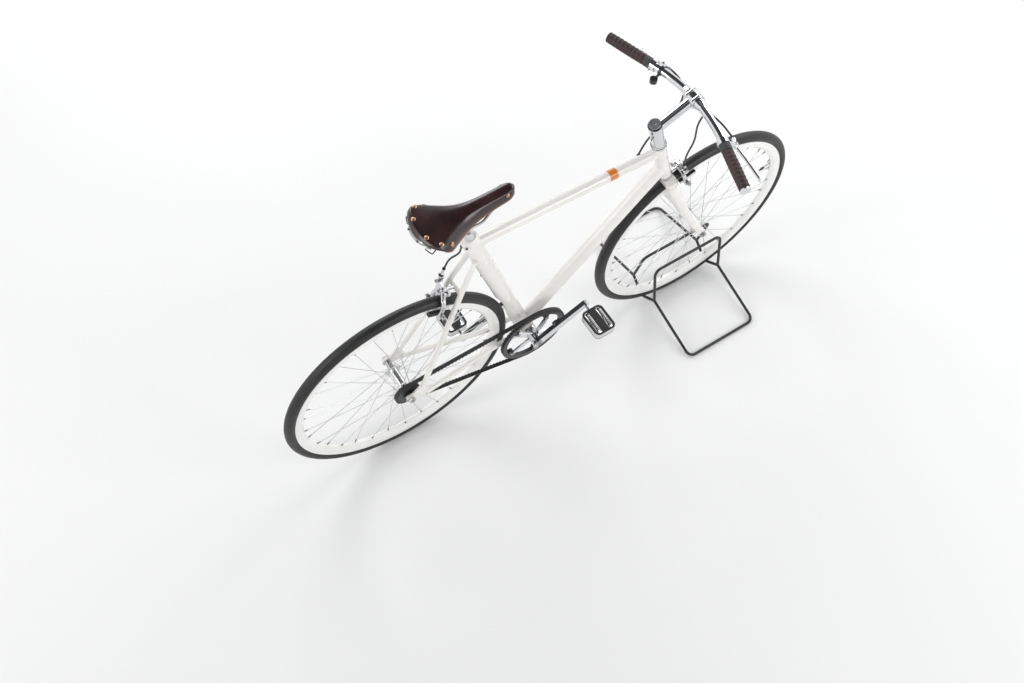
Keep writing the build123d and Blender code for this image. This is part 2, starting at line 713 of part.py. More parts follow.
def headset():
    bore = steerer_d + 2 * running_gap
    lower = ring(on_steerer(cup_s), on_steerer(head_s), cup_d, bore)
    upper = ring(on_steerer(head_top_s), on_steerer(head_top_s + cup_h), cup_d, bore)
    return Compound(children=[lower, upper])


bar_centre = on_steerer(stem_s + stem_clamp_h / 2 + stem_rise, stem_reach)


def bar_points(hand):
    """Edge of the clamped middle, the bend, and the bar's end."""
    corner = bar_centre + Vector(-bar_corner_back, hand * bar_corner_y, -bar_drop)
    back = math.tan(math.radians(bar_sweep)) * (bar_half_w - bar_corner_y)
    end = Vector(corner.X - back, hand * bar_half_w, corner.Z - bar_fall)
    return bar_centre + side * hand * 26, corner, end


def bar_path():
    l0, l1, l2 = bar_points(1)
    r0, r1, r2 = bar_points(-1)
    return FilletPolyline(r2, r1, r0, l0, l1, l2, radius=[bar_bend_r, 120, 120, bar_bend_r])


def on_bar(hand, from_end):
    """A point on the bar's axis, and the direction toward that end."""
    path = bar_path()
    t = from_end / path.length
    t = 1 - t if hand > 0 else t
    return path @ t, (path % t) * hand


def handlebar():
    path = bar_path()
    bar = sweep(Plane(origin=path @ 0, z_dir=path % 0) * Circle(bar_d / 2), path=path)
    bar += across(bar_centre, bar_bulge_half, bar_clamp_d)
    for hand in (1, -1):
        shoulder = Plane(origin=bar_centre + side * hand * bar_bulge_half, z_dir=side * hand)
        bar += extrude(shoulder * Circle(bar_clamp_d / 2), 14, taper=18.8)
    return bar


def stem():
    clamp_bore = steerer_d + 2 * seat_gap
    back = ring(on_steerer(stem_s), on_steerer(steerer_top_s), stem_back_d, clamp_bore)
    front = across(bar_centre, stem_front_half, stem_front_d)
    mid = on_steerer(stem_s + stem_clamp_h / 2)
    arm = rod(mid, bar_centre, stem_d) - rod(on_steerer(stem_s - 5), on_steerer(steerer_top_s + 5), stem_back_d - 1)
    arm -= across(bar_centre, 40, stem_front_d - 1)
    body = back + arm + front
    return body - across(bar_centre, 60, bar_clamp_d + 2 * seat_gap)


def grips():
    nodes = {}
    for name, hand in (("left", 1), ("right", -1)):
        _, corner, end = bar_points(hand)
        along = (end - corner).normalized()
        start = end - along * (grip_l - 3)
        nodes[f"grip_{name}"] = ring(start, end + along * 0.5, grip_d, bar_d + 2 * seat_gap) + rod(end + along * 0.5, end + along * 4, grip_d - 3)
    return nodes


def lever_band(hand):
    """Middle of the lever's clamp on the bar, and the bar's direction there."""
    _, corner, end = bar_points(hand)
    along = (end - corner).normalized()
    return end - along * (grip_l - 3 + lever_band_w / 2 + seat_gap), along


def lever_perch(hand):
    """Middle of the lever body, ahead of the bar and below it."""
    return lever_band(hand)[0] + Vector(38, hand * 8, -30)


def lever_outlet(hand):
    """Where the cable housing leaves the lever."""
    return lever_perch(hand) + Vector(11, -hand * 21, -1)


def levers():
    nodes = {}
    for name, hand in (("left", 1), ("right", -1)):
        mid, along = lever_band(hand)
        half = along * (lever_band_w / 2)
        band = ring(mid - half, mid + half, lever_band_d, bar_d + 2 * seat_gap)
        perch = lever_perch(hand)
        neck = (perch - mid).normalized()
        body = band + rod(mid + neck * (lever_band_d / 2 - 2), perch, 15) + Pos(*perch) * Sphere(9)
        tip = mid + Vector(49, hand * 103, -66)
        blade = bent_rod([perch + Vector(0, hand * 4, 0), perch + Vector(5, hand * 38, -13), tip], [90], lever_blade_d)
        barrel = rod(perch, lever_outlet(hand), 9)
        nodes[f"brake_lever_{name}"] = body + blade + barrel + Pos(*tip) * Sphere(lever_blade_d * 0.7)
    return nodes


def headset_stack():
    """Spacers under the stem and the cap on top."""
    spacers = ring(on_steerer(spacer_s), on_steerer(stem_s - seat_gap), spacer_d, steerer_d + 2 * seat_gap)
    cap = rod(on_steerer(steerer_top_s + seat_gap), on_steerer(steerer_top_s + top_cap_h), top_cap_d)
    return Compound(children=[spacers, cap])


def bell():
    """A small dome on a band, behind the bar beside the left lever."""
    at, along = on_bar(1, grip_l + 30)
    band = ring(at - along * 4, at + along * 4, 26, bar_d + 2 * seat_gap)
    back = Vector(-1, -0.3, -0.35)
    back = (back - along * back.dot(along)).normalized()
    arm = rod(at + back * 12, at + back * 28, 7)
    dome = Pos(*(at + back * 32)) * Cylinder(bell_d / 2, 12)
    return band + arm + dome


def cables(front_end, rear_end, nodes):
    """Brake cable housings: under the bar to the front caliper, past the stem into the top
    tube, and out of the seat tube to the rear caliper."""
    neck = on_steerer(head_top_s)
    head_end = on_steerer(head_top_s - top_tube_head_drop)
    back = (on_seat(seat_tube_l - top_tube_seat_drop) - head_end).normalized()
    right = lever_outlet(-1)
    left = lever_outlet(1)
    seat_exit = on_seat(seat_tube_l - 22, -seat_tube_depth / 2 - 2, 6)
    front = [right, right + Vector(2, 52, 4), bar_centre + Vector(22, -30, -29), bar_centre + Vector(9, -25, -77),
             front_end + Vector(17, 1, 84), front_end + Vector(-1, 0, 40), front_end]
    rear_front = [left, left + Vector(4, -56, 5), bar_centre + Vector(7, 42, -65), neck + Vector(45, 32, 31),
                  neck + Vector(-3, 34, 3), head_end + back * 46 + Vector(0, 23, 8), head_end + back * 74 + Vector(0, 7, -3)]
    rear = [seat_exit, seat_exit + Vector(-4, 6, -43), rear_end + Vector(14, -1, 32), rear_end]
    near = nodes["brake_lever_right"], nodes["brake_lever_left"]
    return {
        "front_brake_cable": housing(front, cable_d) - near[0] - nodes["front_brake"],
        "rear_cable_front": housing(rear_front, cable_d) - near[1] - nodes["top_tube"],
        "rear_brake_cable": housing(rear, cable_d) - nodes["seat_tube"] - nodes["rear_brake"],
    }


# ---------------------------------------------------------------- display stand
def display_stand():
    nodes = {}
    cx = front_axle.X
    z0 = wire_d / 2
    for name, hand in (("left", 1), ("right", -1)):
        floor = []
        hoop = []
        for end in (-1, 1):
            x = cx + end * stand_half_l
            floor.append((Vector(x, hand * stand_pinch_y, stand_pinch_z), Vector(x, hand * stand_half_w, z0)))
            hoop.append((Vector(x, hand * stand_pinch_y, stand_pinch_z), Vector(x, hand * stand_hoop_y, stand_hoop_z)))
        (f0, f1), (f3, f2) = floor
        (h0, h1), (h3, h2) = hoop
        base = bent_rod([f0, f1, f2, f3], [stand_corner_r] * 2, wire_d)
        arch = bent_rod([h0, h1, h2, h3], [stand_corner_r] * 2, wire_d)
        nodes[f"stand_loop_{name}"] = base + arch + Pos(*f0) * Sphere(wire_d / 2) + Pos(*f3) * Sphere(wire_d / 2)
    for name, end in (("rear", -1), ("front", 1)):
        x = cx + end * stand_half_l
        y = stand_pinch_y
        pts = [Vector(x, -y, stand_pinch_z), Vector(x, 0, stand_vee_z), Vector(x, y, stand_pinch_z)]
        vee = bent_rod(pts, [stand_vee_r], wire_d)
        nodes[f"stand_cross_{name}"] = vee - nodes["stand_loop_left"] - nodes["stand_loop_right"]
    return nodes


# ---------------------------------------------------------------- write
def build():
    nodes = {}
    for group in (front_wheel(), rear_wheel(), frame_tubes(), stays(), cranks(), pedals(), fork(), grips(), levers(), display_stand()):
        nodes.update(group)
    nodes["belt"] = belt()
    nodes["rear_axle"] = rear_axle_set()
    nodes["front_axle"] = front_axle_set()
    nodes["bottom_bracket_cups"] = bb_cups()
    nodes["headset_cups"] = headset()
    nodes["headset_stack"] = headset_stack()
    nodes["seat_post"] = seat_post()
    nodes["saddle_leather"] = saddle_leather()
    nodes["saddle_rails"] = saddle_rails()
    bridge = (bridge_point(1) + bridge_point(-1)) / 2
    behind = (seatstay_line(1)[0] - seatstay_line(1)[1]).cross(side).normalized()
    if behind.X > 0:
        behind = behind * -1
    nodes["rear_brake"], rear_end = caliper(rear_axle, bridge + behind * bridge_d / 2, behind, 1)
    nodes["front_brake"], front_end = caliper(front_axle, on_steerer(crown_s + 7, crown_depth / 2), steer_fwd, -1)
    nodes.update(cables(front_end, rear_end, nodes))
    nodes["handlebar"] = handlebar()
    nodes["stem"] = stem()
    nodes["bell"] = bell()
    return nodes


os.makedirs("parts", exist_ok=True)
for node, shape in build().items():
    export_step(shape, f"parts/{node}.step")
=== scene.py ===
import json
import math

import bpy
import bmesh
from mathutils import Matrix, Vector


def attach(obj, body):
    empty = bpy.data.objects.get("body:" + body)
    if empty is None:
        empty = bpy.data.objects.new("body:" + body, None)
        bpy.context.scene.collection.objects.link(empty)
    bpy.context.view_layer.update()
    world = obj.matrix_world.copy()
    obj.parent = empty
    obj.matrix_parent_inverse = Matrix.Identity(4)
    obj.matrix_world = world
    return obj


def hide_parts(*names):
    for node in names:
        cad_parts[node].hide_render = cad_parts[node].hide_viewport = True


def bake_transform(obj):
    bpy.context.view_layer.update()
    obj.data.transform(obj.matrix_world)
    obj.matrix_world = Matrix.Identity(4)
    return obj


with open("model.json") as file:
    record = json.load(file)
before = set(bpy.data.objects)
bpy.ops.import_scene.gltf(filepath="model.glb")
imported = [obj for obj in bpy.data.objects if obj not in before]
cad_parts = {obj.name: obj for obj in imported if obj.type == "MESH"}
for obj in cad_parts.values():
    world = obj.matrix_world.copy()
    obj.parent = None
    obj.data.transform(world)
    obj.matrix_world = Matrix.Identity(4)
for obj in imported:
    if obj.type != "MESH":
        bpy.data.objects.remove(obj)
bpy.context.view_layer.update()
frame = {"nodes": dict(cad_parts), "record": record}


# ---------------- camera
# The bicycle is seen from high behind its right rear wheel, looking forward and
# steeply down, with a slight roll of the camera and a moderately long lens.
camera_data = bpy.data.cameras.new("studio_camera")
camera_data.sensor_width = 36.0
camera_data.lens = 38.67
camera = bpy.data.objects.new("studio_camera", camera_data)
bpy.context.collection.objects.link(camera)
camera_place = Vector((-1.0048, -1.2449, 3.0452))
heading, pitch, roll = math.radians(35.17), math.radians(61.90), math.radians(2.92)
looking = Vector((
    math.sin(heading) * math.cos(pitch),
    math.cos(heading) * math.cos(pitch),
    -math.sin(pitch),
))
level_right = Vector((math.cos(heading), -math.sin(heading), 0.0))
level_up = level_right.cross(looking)
camera_right = level_right * math.cos(roll) + level_up * math.sin(roll)
camera_up = level_up * math.cos(roll) - level_right * math.sin(roll)
turn = Matrix((camera_right, camera_up, -looking)).transposed().to_4x4()
camera.matrix_world = Matrix.Translation(camera_place) @ turn
bpy.context.scene.camera = camera


# ---------------- studio floor and light
# A pale seamless floor, lit from within far out, is ringed by soft boxes and a white
# surround under a dark ceiling that bright metal mirrors. It isn't part of the bicycle.
floor_half = 9
floor_edges = [(-floor_half, -floor_half, 0), (floor_half, -floor_half, 0),
               (floor_half, floor_half, 0), (-floor_half, floor_half, 0)]
floor_mesh = bpy.data.meshes.new("studio_floor")
floor_mesh.from_pydata(floor_edges, [], [(0, 1, 2, 3)])
studio_floor = bpy.data.objects.new("studio_floor", floor_mesh)
bpy.context.collection.objects.link(studio_floor)
floor_paint = bpy.data.materials.new("floor_paint")
floor_paint.use_nodes = True
floor_nodes = floor_paint.node_tree.nodes
floor_links = floor_paint.node_tree.links
floor_shader = floor_nodes["Principled BSDF"]
floor_shader.inputs["Roughness"].default_value = 0.6
floor_shader.inputs["Specular IOR Level"].default_value = 0.25
floor_mottle = floor_nodes.new("ShaderNodeTexNoise")
floor_mottle.inputs["Scale"].default_value = 1.4
floor_tint = floor_nodes.new("ShaderNodeValToRGB")
floor_tint.color_ramp.elements[0].color = (0.86, 0.86, 0.86, 1)
floor_tint.color_ramp.elements[1].color = (0.89, 0.89, 0.89, 1)
floor_links.new(floor_mottle.outputs["Fac"], floor_tint.inputs["Fac"])
floor_links.new(floor_tint.outputs["Color"], floor_shader.inputs["Base Color"])
floor_place = floor_nodes.new("ShaderNodeTexCoord")
floor_reach = floor_nodes.new("ShaderNodeVectorMath")
floor_reach.operation = "LENGTH"
floor_glow = floor_nodes.new("ShaderNodeMapRange")
floor_glow.interpolation_type = "SMOOTHSTEP"
floor_glow.inputs["From Min"].default_value = 1.9
floor_glow.inputs["From Max"].default_value = 6.0
floor_glow.inputs["To Max"].default_value = 0.52
floor_links.new(floor_place.outputs["Object"], floor_reach.inputs[0])
floor_links.new(floor_reach.outputs["Value"], floor_glow.inputs["Value"])
floor_links.new(floor_glow.outputs["Result"], floor_shader.inputs["Emission Strength"])
floor_shader.inputs["Emission Color"].default_value = (0.985, 0.995, 1.0, 1)
floor_mesh.materials.append(floor_paint)
bpy.context.scene.view_settings.view_transform = "Standard"

world = bpy.data.worlds.new("studio_surround")
world.use_nodes = True
sky_nodes = world.node_tree.nodes
sky_links = world.node_tree.links
sky_place = sky_nodes.new("ShaderNodeTexCoord")
sky_split = sky_nodes.new("ShaderNodeSeparateXYZ")
sky_band = sky_nodes.new("ShaderNodeValToRGB")
sky_band.color_ramp.elements[0].color = (0.985, 0.995, 1.0, 1)
sky_band.color_ramp.elements[1].color = (0.30, 0.305, 0.31, 1)
for position, grey in ((0.40, 1.25), (0.56, 0.40), (0.72, 0.06), (0.90, 0.05)):
    stop = sky_band.color_ramp.elements.new(position)
    stop.color = (grey * 0.985, grey * 0.995, grey, 1)
sky_links.new(sky_place.outputs["Generated"], sky_split.inputs["Vector"])
sky_links.new(sky_split.outputs["Z"], sky_band.inputs["Fac"])
sky_links.new(sky_band.outputs["Color"], sky_nodes["Background"].inputs["Color"])
sky_nodes["Background"].inputs["Strength"].default_value = 1.0
bpy.context.scene.world = world

softbox_width = 2.0
softbox_aim = Vector((0.0, 0.0, 0.3))
for lamp_name, place, power in (
    ("left_softbox", (0.2, 3.2, 2.6), 60),
    ("right_softbox", (1.6, -2.8, 2.6), 50),
    ("tail_softbox", (-3.2, 0.4, 2.6), 45),
    ("nose_softbox", (3.2, 0.6, 2.6), 45),
):
    lamp_data = bpy.data.lights.new(lamp_name, "AREA")
    lamp_data.shape = "SQUARE"
    lamp_data.size = softbox_width
    lamp_data.energy = power
    lamp = bpy.data.objects.new(lamp_name, lamp_data)
    bpy.context.collection.objects.link(lamp)
    lamp.location = place
    lamp.rotation_euler = (softbox_aim - Vector(place)).to_track_quat("-Z", "Y").to_euler()


# ---------------- painted frame
# Steel tubes brazed together and sprayed ivory white under a clear lacquer, with a
# very slight orange peel. The fork has the same paint.
def finish_of(name, dark, light, rough, metal=0.0, mottle=9.0, grain=60.0, relief=0.02, coat=0.0):
    """A surface whose colour drifts between two tones, with a fine bump."""
    material = bpy.data.materials.new(name)
    material.use_nodes = True
    nodes = material.node_tree.nodes
    links = material.node_tree.links
    shader = nodes["Principled BSDF"]
    shader.inputs["Metallic"].default_value = metal
    shader.inputs["Coat Weight"].default_value = coat
    shader.inputs["Coat Roughness"].default_value = 0.06
    place = nodes.new("ShaderNodeTexCoord")
    drift = nodes.new("ShaderNodeTexNoise")
    drift.inputs["Scale"].default_value = mottle
    drift.inputs["Detail"].default_value = 6
    tones = nodes.new("ShaderNodeValToRGB")
    tones.color_ramp.elements[0].position = 0.3
    tones.color_ramp.elements[0].color = (*dark, 1)
    tones.color_ramp.elements[1].position = 0.7
    tones.color_ramp.elements[1].color = (*light, 1)
    shine = nodes.new("ShaderNodeMapRange")
    shine.inputs["To Min"].default_value = rough * 0.8
    shine.inputs["To Max"].default_value = rough * 1.25
    fine = nodes.new("ShaderNodeTexNoise")
    fine.inputs["Scale"].default_value = grain
    fine.inputs["Detail"].default_value = 3
    bump = nodes.new("ShaderNodeBump")
    bump.inputs["Strength"].default_value = relief
    bump.inputs["Distance"].default_value = 0.001
    links.new(place.outputs["Object"], drift.inputs["Vector"])
    links.new(place.outputs["Object"], fine.inputs["Vector"])
    links.new(drift.outputs["Fac"], tones.inputs["Fac"])
    links.new(tones.outputs["Color"], shader.inputs["Base Color"])
    links.new(drift.outputs["Fac"], shine.inputs["Value"])
    links.new(shine.outputs["Result"], shader.inputs["Roughness"])
    links.new(fine.outputs["Fac"], bump.inputs["Height"])
    links.new(bump.outputs["Normal"], shader.inputs["Normal"])
    return material


def dress(material, *names):
    """Gives CAD nodes one material in all their slots."""
    for name in names:
        mesh = frame["nodes"][name].data
        mesh.materials.clear()
        mesh.materials.append(material)


ivory_paint = finish_of("ivory_paint", (0.77, 0.745, 0.71), (0.83, 0.81, 0.775), 0.26,
                        grain=900, relief=0.04, coat=0.8)
dress(
    ivory_paint,
    "head_tube", "seat_tube", "top_tube", "down_tube", "bottom_bracket_shell",
    "dropout_left", "dropout_right", "chainstay_left", "chainstay_right",
    "seatstay_left", "seatstay_right", "brake_bridge",
    "fork_crown", "fork_blade_left", "fork_blade_right",
)


# ---------------- colour band
# A lacquered orange band round the top tube near its front end, sprayed over the
# ivory paint and edged by masking tape, so that it stands a hair proud.
def ring_faces(rings, size, closed=False):
    """Faces between rings of corners; both ends are capped unless the rings close up."""
    faces = []
    for k in range(rings if closed else rings - 1):
        n = (k + 1) % rings
        for i in range(size):
            j = (i + 1) % size
            faces.append((k * size + i, k * size + j, n * size + j, n * size + i))
    if not closed:
        faces += [tuple(range(size)), tuple(range((rings - 1) * size, rings * size))]
    return faces


def lathe(base, axis, profile, steps=40, closed=False, socket=()):
    """Rings of (along, radius) about an axis; the rings named in socket are six-sided."""
    axis = Vector(axis).normalized()
    u = axis.orthogonal().normalized()
    v = axis.cross(u)
    corners = []
    for k, (along, radius) in enumerate(profile):
        for i in range(steps):
            a = math.tau * i / steps
            r = radius
            if k in socket:
                r = radius / math.cos((a + math.pi / 6) % (math.pi / 3) - math.pi / 6)
            corners.append(Vector(base) + axis * along + (u * math.cos(a) + v * math.sin(a)) * r)
    return corners, ring_faces(len(profile), steps, closed)


def show(name, parts, material, body, crease=34):
    """Joins turned, drawn or pressed parts into one piece that rides on a body."""
    corners, faces = [], []
    for part_corners, part_faces in parts:
        first = len(corners)
        corners += part_corners
        faces += [tuple(first + i for i in face) for face in part_faces]
    mesh = bpy.data.meshes.new(name)
    mesh.from_pydata(corners, [], faces)
    skin = bmesh.new()
    skin.from_mesh(mesh)
    bmesh.ops.recalc_face_normals(skin, faces=skin.faces)
    skin.to_mesh(mesh)
    skin.free()
    mesh.materials.append(material)
    mesh.polygons.foreach_set("use_smooth", [True] * len(mesh.polygons))
    mesh.set_sharp_from_angle(angle=math.radians(crease))
    thing = bpy.data.objects.new(name, mesh)
    bpy.context.collection.objects.link(thing)
    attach(thing, body)
    return thing


top_tube_front = Vector((0.3043, 0.0, 0.80143))
top_tube_rear = Vector((-0.2547, 0.0, 0.82201))
along_top = (top_tube_rear - top_tube_front).normalized()
band_orange = finish_of("band_orange", (0.60, 0.17, 0.018), (0.74, 0.24, 0.03), 0.3,
                        mottle=22, grain=800, coat=0.5)
band_from_head = 0.152
band_profile = [(-0.0122, 0.01435), (-0.0119, 0.01475), (0.0119, 0.01475), (0.0122, 0.01435)]
show("top_tube_band", [lathe(
    top_tube_front + along_top * band_from_head, along_top, band_profile, 64, closed=True,
)], band_orange, "frame")


# ---------------- tyres
# Round city tyres of black rubber on a folding bead. The tread is nearly slick, with
# short slanted sipes on the shoulders, and the side walls have fine moulded rings.
joint_place = {
    joint["name"]: Vector(joint["pos_m"])
    for joint in frame["record"]["behaviour"]["joints"]
}


def first_node(nodes, kind):
    """The first shader node of one kind."""
    return next(node for node in nodes if node.bl_idname == kind)


def wheel_rubber(name):
    """Black rubber with sipes and rings laid out round the wheel's own axle."""
    material = finish_of(name, (0.0065, 0.0065, 0.007), (0.014, 0.014, 0.0145), 0.46,
                         mottle=30, grain=700, relief=0.15)
    nodes = material.node_tree.nodes
    links = material.node_tree.links
    place, bump = first_node(nodes, "ShaderNodeTexCoord"), first_node(nodes, "ShaderNodeBump")
    split = nodes.new("ShaderNodeSeparateXYZ")
    links.new(place.outputs["Object"], split.inputs["Vector"])

    def figure(operation, a, b=0.0):
        step = nodes.new("ShaderNodeMath")
        step.operation = operation
        for socket, value in zip(step.inputs, (a, b)):
            if isinstance(value, float):
                socket.default_value = value
            else:
                links.new(value, socket)
        return step.outputs["Value"]

    def product(a, b):
        return figure("MULTIPLY", a, b)

    def total(a, b):
        return figure("ADD", a, b)

    def stripe(middle):
        return figure("LESS_THAN", figure("ABSOLUTE", figure("SUBTRACT", across, middle)), stripe_half)

    sipe_count, sipe_slant, sipe_share = 96, 60.0, 0.22
    sipe_inner_edge, sipe_foot = 0.0035, 0.3335
    wall_top, ring_pitch, ring_depth = 0.3300, 5200.0, 0.16
    centre_groove, stripe_half = 0.0009, 0.00045
    across = figure("ABSOLUTE", split.outputs["Y"])
    radius = figure("SQRT", total(figure("POWER", split.outputs["X"], 2.0), figure("POWER", split.outputs["Z"], 2.0)))
    angle = figure("ARCTAN2", split.outputs["Z"], split.outputs["X"])
    slant = total(product(angle, sipe_count / math.tau), product(across, sipe_slant))
    sipe = figure("LESS_THAN", figure("FRACT", slant), sipe_share)
    shoulder = product(figure("GREATER_THAN", across, sipe_inner_edge), figure("GREATER_THAN", radius, sipe_foot))
    centre_line = figure("LESS_THAN", across, centre_groove)
    rings = product(figure("SINE", product(radius, ring_pitch)), figure("LESS_THAN", radius, wall_top))
    outer_line = product(stripe(0.0088), figure("GREATER_THAN", radius, wall_top))
    cut = total(total(product(sipe, shoulder), centre_line), total(stripe(0.0042), outer_line))
    height = total(product(cut, -1.0), product(rings, ring_depth))
    moulding = nodes.new("ShaderNodeBump")
    moulding.inputs["Strength"].default_value = 0.7
    moulding.inputs["Distance"].default_value = 0.0011
    links.new(height, moulding.inputs["Height"])
    links.new(bump.outputs["Normal"], moulding.inputs["Normal"])
    links.new(moulding.outputs["Normal"], nodes["Principled BSDF"].inputs["Normal"])
    return material


tyre_wall = [(0.0085, 0.3113), (0.0101, 0.3160), (0.0122, 0.3190), (0.0147, 0.3228)]
tyre_half, tyre_middle, tread_flat = 0.016, 0.327, 0.0004
tyre_crown = []
for i in range(19):
    a = math.radians(90 - 10 * i)
    crown_radius = tyre_middle + tyre_half * math.cos(a) - tread_flat * abs(math.sin(2 * a))
    tyre_crown.append((tyre_half * math.sin(a), crown_radius))
tyre_profile = tyre_wall + tyre_crown + [(-y, r) for y, r in reversed(tyre_wall)]
for end in ("front", "rear"):
    axle = joint_place[f"{end}_wheel_spin"]
    tyre = show(f"{end}_tyre_skin", [lathe((0, 0, 0), (0, 1, 0), tyre_profile, 200, closed=True)],
                wheel_rubber(f"{end}_tyre_rubber"), f"{end}_wheel", 50)
    tyre.location = axle
    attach(tyre, f"{end}_wheel")
    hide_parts(f"{end}_tyre")


# ---------------- rims, spokes and hubs
# Deep alloy rims in white enamel, laced three-cross with thirty-two bright steel
# spokes. A turned nipple draws each spoke tight, and a slim valve stands between two.
rim_enamel = finish_of("rim_enamel", (0.82, 0.81, 0.79), (0.88, 0.87, 0.85), 0.26, grain=900, coat=0.6)
rim_wall = [(0.0120, 0.3169), (0.0119, 0.3170), (0.0108, 0.3170),
            (0.0104, 0.3166), (0.0104, 0.3112), (0.0102, 0.3110)]
rim_side = [(0.0042, 0.2890), (0.0056, 0.2901), (0.0110, 0.2975), (0.0119, 0.2996), (0.01195, 0.3010),
            (0.01175, 0.3014), (0.01175, 0.3018), (0.0120, 0.3022), (0.0120, 0.3160)]
rim_half = rim_side + rim_wall
rim_profile = rim_half + [(-y, r) for y, r in reversed(rim_half)]
for end in ("front", "rear"):
    axle = joint_place[f"{end}_wheel_spin"]
    hoop = show(f"{end}_rim_hoop", [lathe(axle, (0, 1, 0), rim_profile, 220, closed=True)],
                rim_enamel, f"{end}_wheel", 28)
    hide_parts(f"{end}_rim")
bright_steel = finish_of("bright_steel", (0.34, 0.34, 0.345), (0.48, 0.48, 0.48), 0.28,
                         metal=1.0, grain=700)
dress(bright_steel, "front_axle", "rear_axle", "crank_spindle")
spoke_steel = finish_of("spoke_steel", (0.60, 0.60, 0.61), (0.74, 0.74, 0.74), 0.42,
                        metal=1.0, mottle=40, grain=900)
dress(spoke_steel, "front_spokes", "rear_spokes")
hub_alloy = finish_of("hub_alloy", (0.66, 0.66, 0.67), (0.80, 0.80, 0.80), 0.2,
                      metal=1.0, mottle=30, grain=900)
dress(hub_alloy, "front_hub", "rear_hub")
nipple_brass = finish_of("nipple_brass", (0.16, 0.16, 0.16), (0.26, 0.255, 0.25), 0.35, metal=1.0, mottle=60)
valve_black = finish_of("valve_black", (0.015, 0.015, 0.016), (0.03, 0.03, 0.031), 0.4, mottle=60)
spoke_count = 32
spoke_step = math.tau / spoke_count
crossing = 6 * spoke_step
rim_seat, rim_offset, flange_hole = 0.2895, 0.0025, 0.019
beside_flange, outer_lift = 0.0027, 0.0016
nipple_profile = [(-0.001, 0.0022), (0.002, 0.0021), (0.003, 0.0017), (0.011, 0.0015)]
valve_angle, valve_foot, valve_cap_lift = 1.5 * spoke_step, 0.290, 0.0225
valve_profile = [(0, 0.003), (0.0005, 0.0045), (0.003, 0.0045), (0.0032, 0.0029), (0.022, 0.0029)]
valve_cap_profile = [(0, 0.0036), (0.009, 0.0036), (0.0125, 0.0024), (0.016, 0.0022), (0.017, 0.001)]
for end, flange_y in (("front", 0.029), ("rear", 0.032)):
    axle = joint_place[f"{end}_wheel_spin"]
    nipples = []
    for i in range(spoke_count):
        hand = 1 if i % 2 else -1
        way = 1 if (i // 2) % 2 else -1
        at_rim = i * spoke_step
        at_hub = at_rim + way * crossing
        y_hub = hand * (flange_y + way * beside_flange + (outer_lift if way > 0 else 0))
        seat = axle + Vector((rim_seat * math.cos(at_rim), hand * rim_offset, rim_seat * math.sin(at_rim)))
        hole = axle + Vector((flange_hole * math.cos(at_hub), y_hub, flange_hole * math.sin(at_hub)))
        nipples.append(lathe(seat, hole - seat, nipple_profile, 12))
    show(f"{end}_nipples", nipples, nipple_brass, f"{end}_wheel")
    outward = Vector((math.cos(valve_angle), 0, math.sin(valve_angle)))
    foot = axle + outward * valve_foot
    valve = lathe(foot, -outward, valve_profile, 20)
    show(f"{end}_valve_stem", [valve], bright_steel, f"{end}_wheel")
    cap = lathe(foot - outward * valve_cap_lift, -outward, valve_cap_profile, 20)
    show(f"{end}_valve_cap", [cap], valve_black, f"{end}_wheel")


# ---------------- belt drive
# A toothed rubber belt on a black anodised front ring and rear cog. Five polished
# arms of the right crank carry the ring, each with a small steel bolt.
belt_rubber = finish_of("belt_rubber", (0.008, 0.008, 0.0085), (0.017, 0.017, 0.0175), 0.5,
                        mottle=40, grain=500, relief=0.2)
dress(belt_rubber, "belt")
pulley_black = finish_of("pulley_black", (0.011, 0.011, 0.012), (0.026, 0.026, 0.027), 0.38,
                         mottle=30, grain=700, relief=0.06)
dress(pulley_black, "front_pulley", "rear_cog")
polished_alloy = finish_of("polished_alloy", (0.64, 0.65, 0.67), (0.74, 0.745, 0.76), 0.10,
                           metal=1.0, mottle=5, grain=500, relief=0.01)
dress(polished_alloy, "crank_left", "crank_right", "bottom_bracket_cups")


def screw(place, way, head, tall, key):
    """A domed cap screw with a six-sided socket, its head standing along way."""
    profile = [(-0.001, head), (tall * 0.6, head), (tall * 0.92, head * 0.86), (tall, head * 0.62),
               (tall, key), (tall * 0.25, key), (tall * 0.2, key * 0.4)]
    return lathe(place, way, profile, 36, socket=(4, 5))


bottom_bracket = joint_place["crank_spin"]
arm_count, first_arm = 5, math.radians(61)
bolt_circle, ring_face, crank_face = 0.079, -0.0597, 0.0845
ring_bolts = []
for i in range(arm_count):
    a = first_arm + math.tau * i / arm_count
    place = bottom_bracket + Vector((bolt_circle * math.cos(a), ring_face, bolt_circle * math.sin(a)))
    ring_bolts.append(screw(place, (0, -1, 0), 0.0049, 0.0022, 0.0022))
show("ring_bolts", ring_bolts, bright_steel, "crankset")
crank_caps = []
for hand in (1, -1):
    place = bottom_bracket + Vector((0, hand * crank_face, 0))
    crank_caps.append(screw(place, (0, hand, 0), 0.0105, 0.0028, 0.0042))
show("crank_bolts", crank_caps, bright_steel, "crankset")


# ---------------- pedals
# Wide city pedals with a cast alloy body. A black rubber tread runs round the edge
# and across the middle, with a dished bright plate on each side of it.
def pressed(origin, x_way, y_way, loops, closed=False, round_steps=6):
    """Rounded rectangles joined one to the next: (half x, half y, corner, height)."""
    x_way, y_way = Vector(x_way).normalized(), Vector(y_way).normalized()
    up = x_way.cross(y_way)
    corners = []
    for half_x, half_y, corner, height in loops:
        for q in range(4):
            cx = (half_x - corner) * (1 if q in (0, 3) else -1)
            cy = (half_y - corner) * (1 if q in (0, 1) else -1)
            for i in range(round_steps + 1):
                a = math.pi / 2 * (q + i / round_steps)
                x, y = cx + corner * math.cos(a), cy + corner * math.sin(a)
                corners.append(Vector(origin) + x_way * x + y_way * y + up * height)
    return corners, ring_faces(len(loops), 4 * (round_steps + 1), closed)


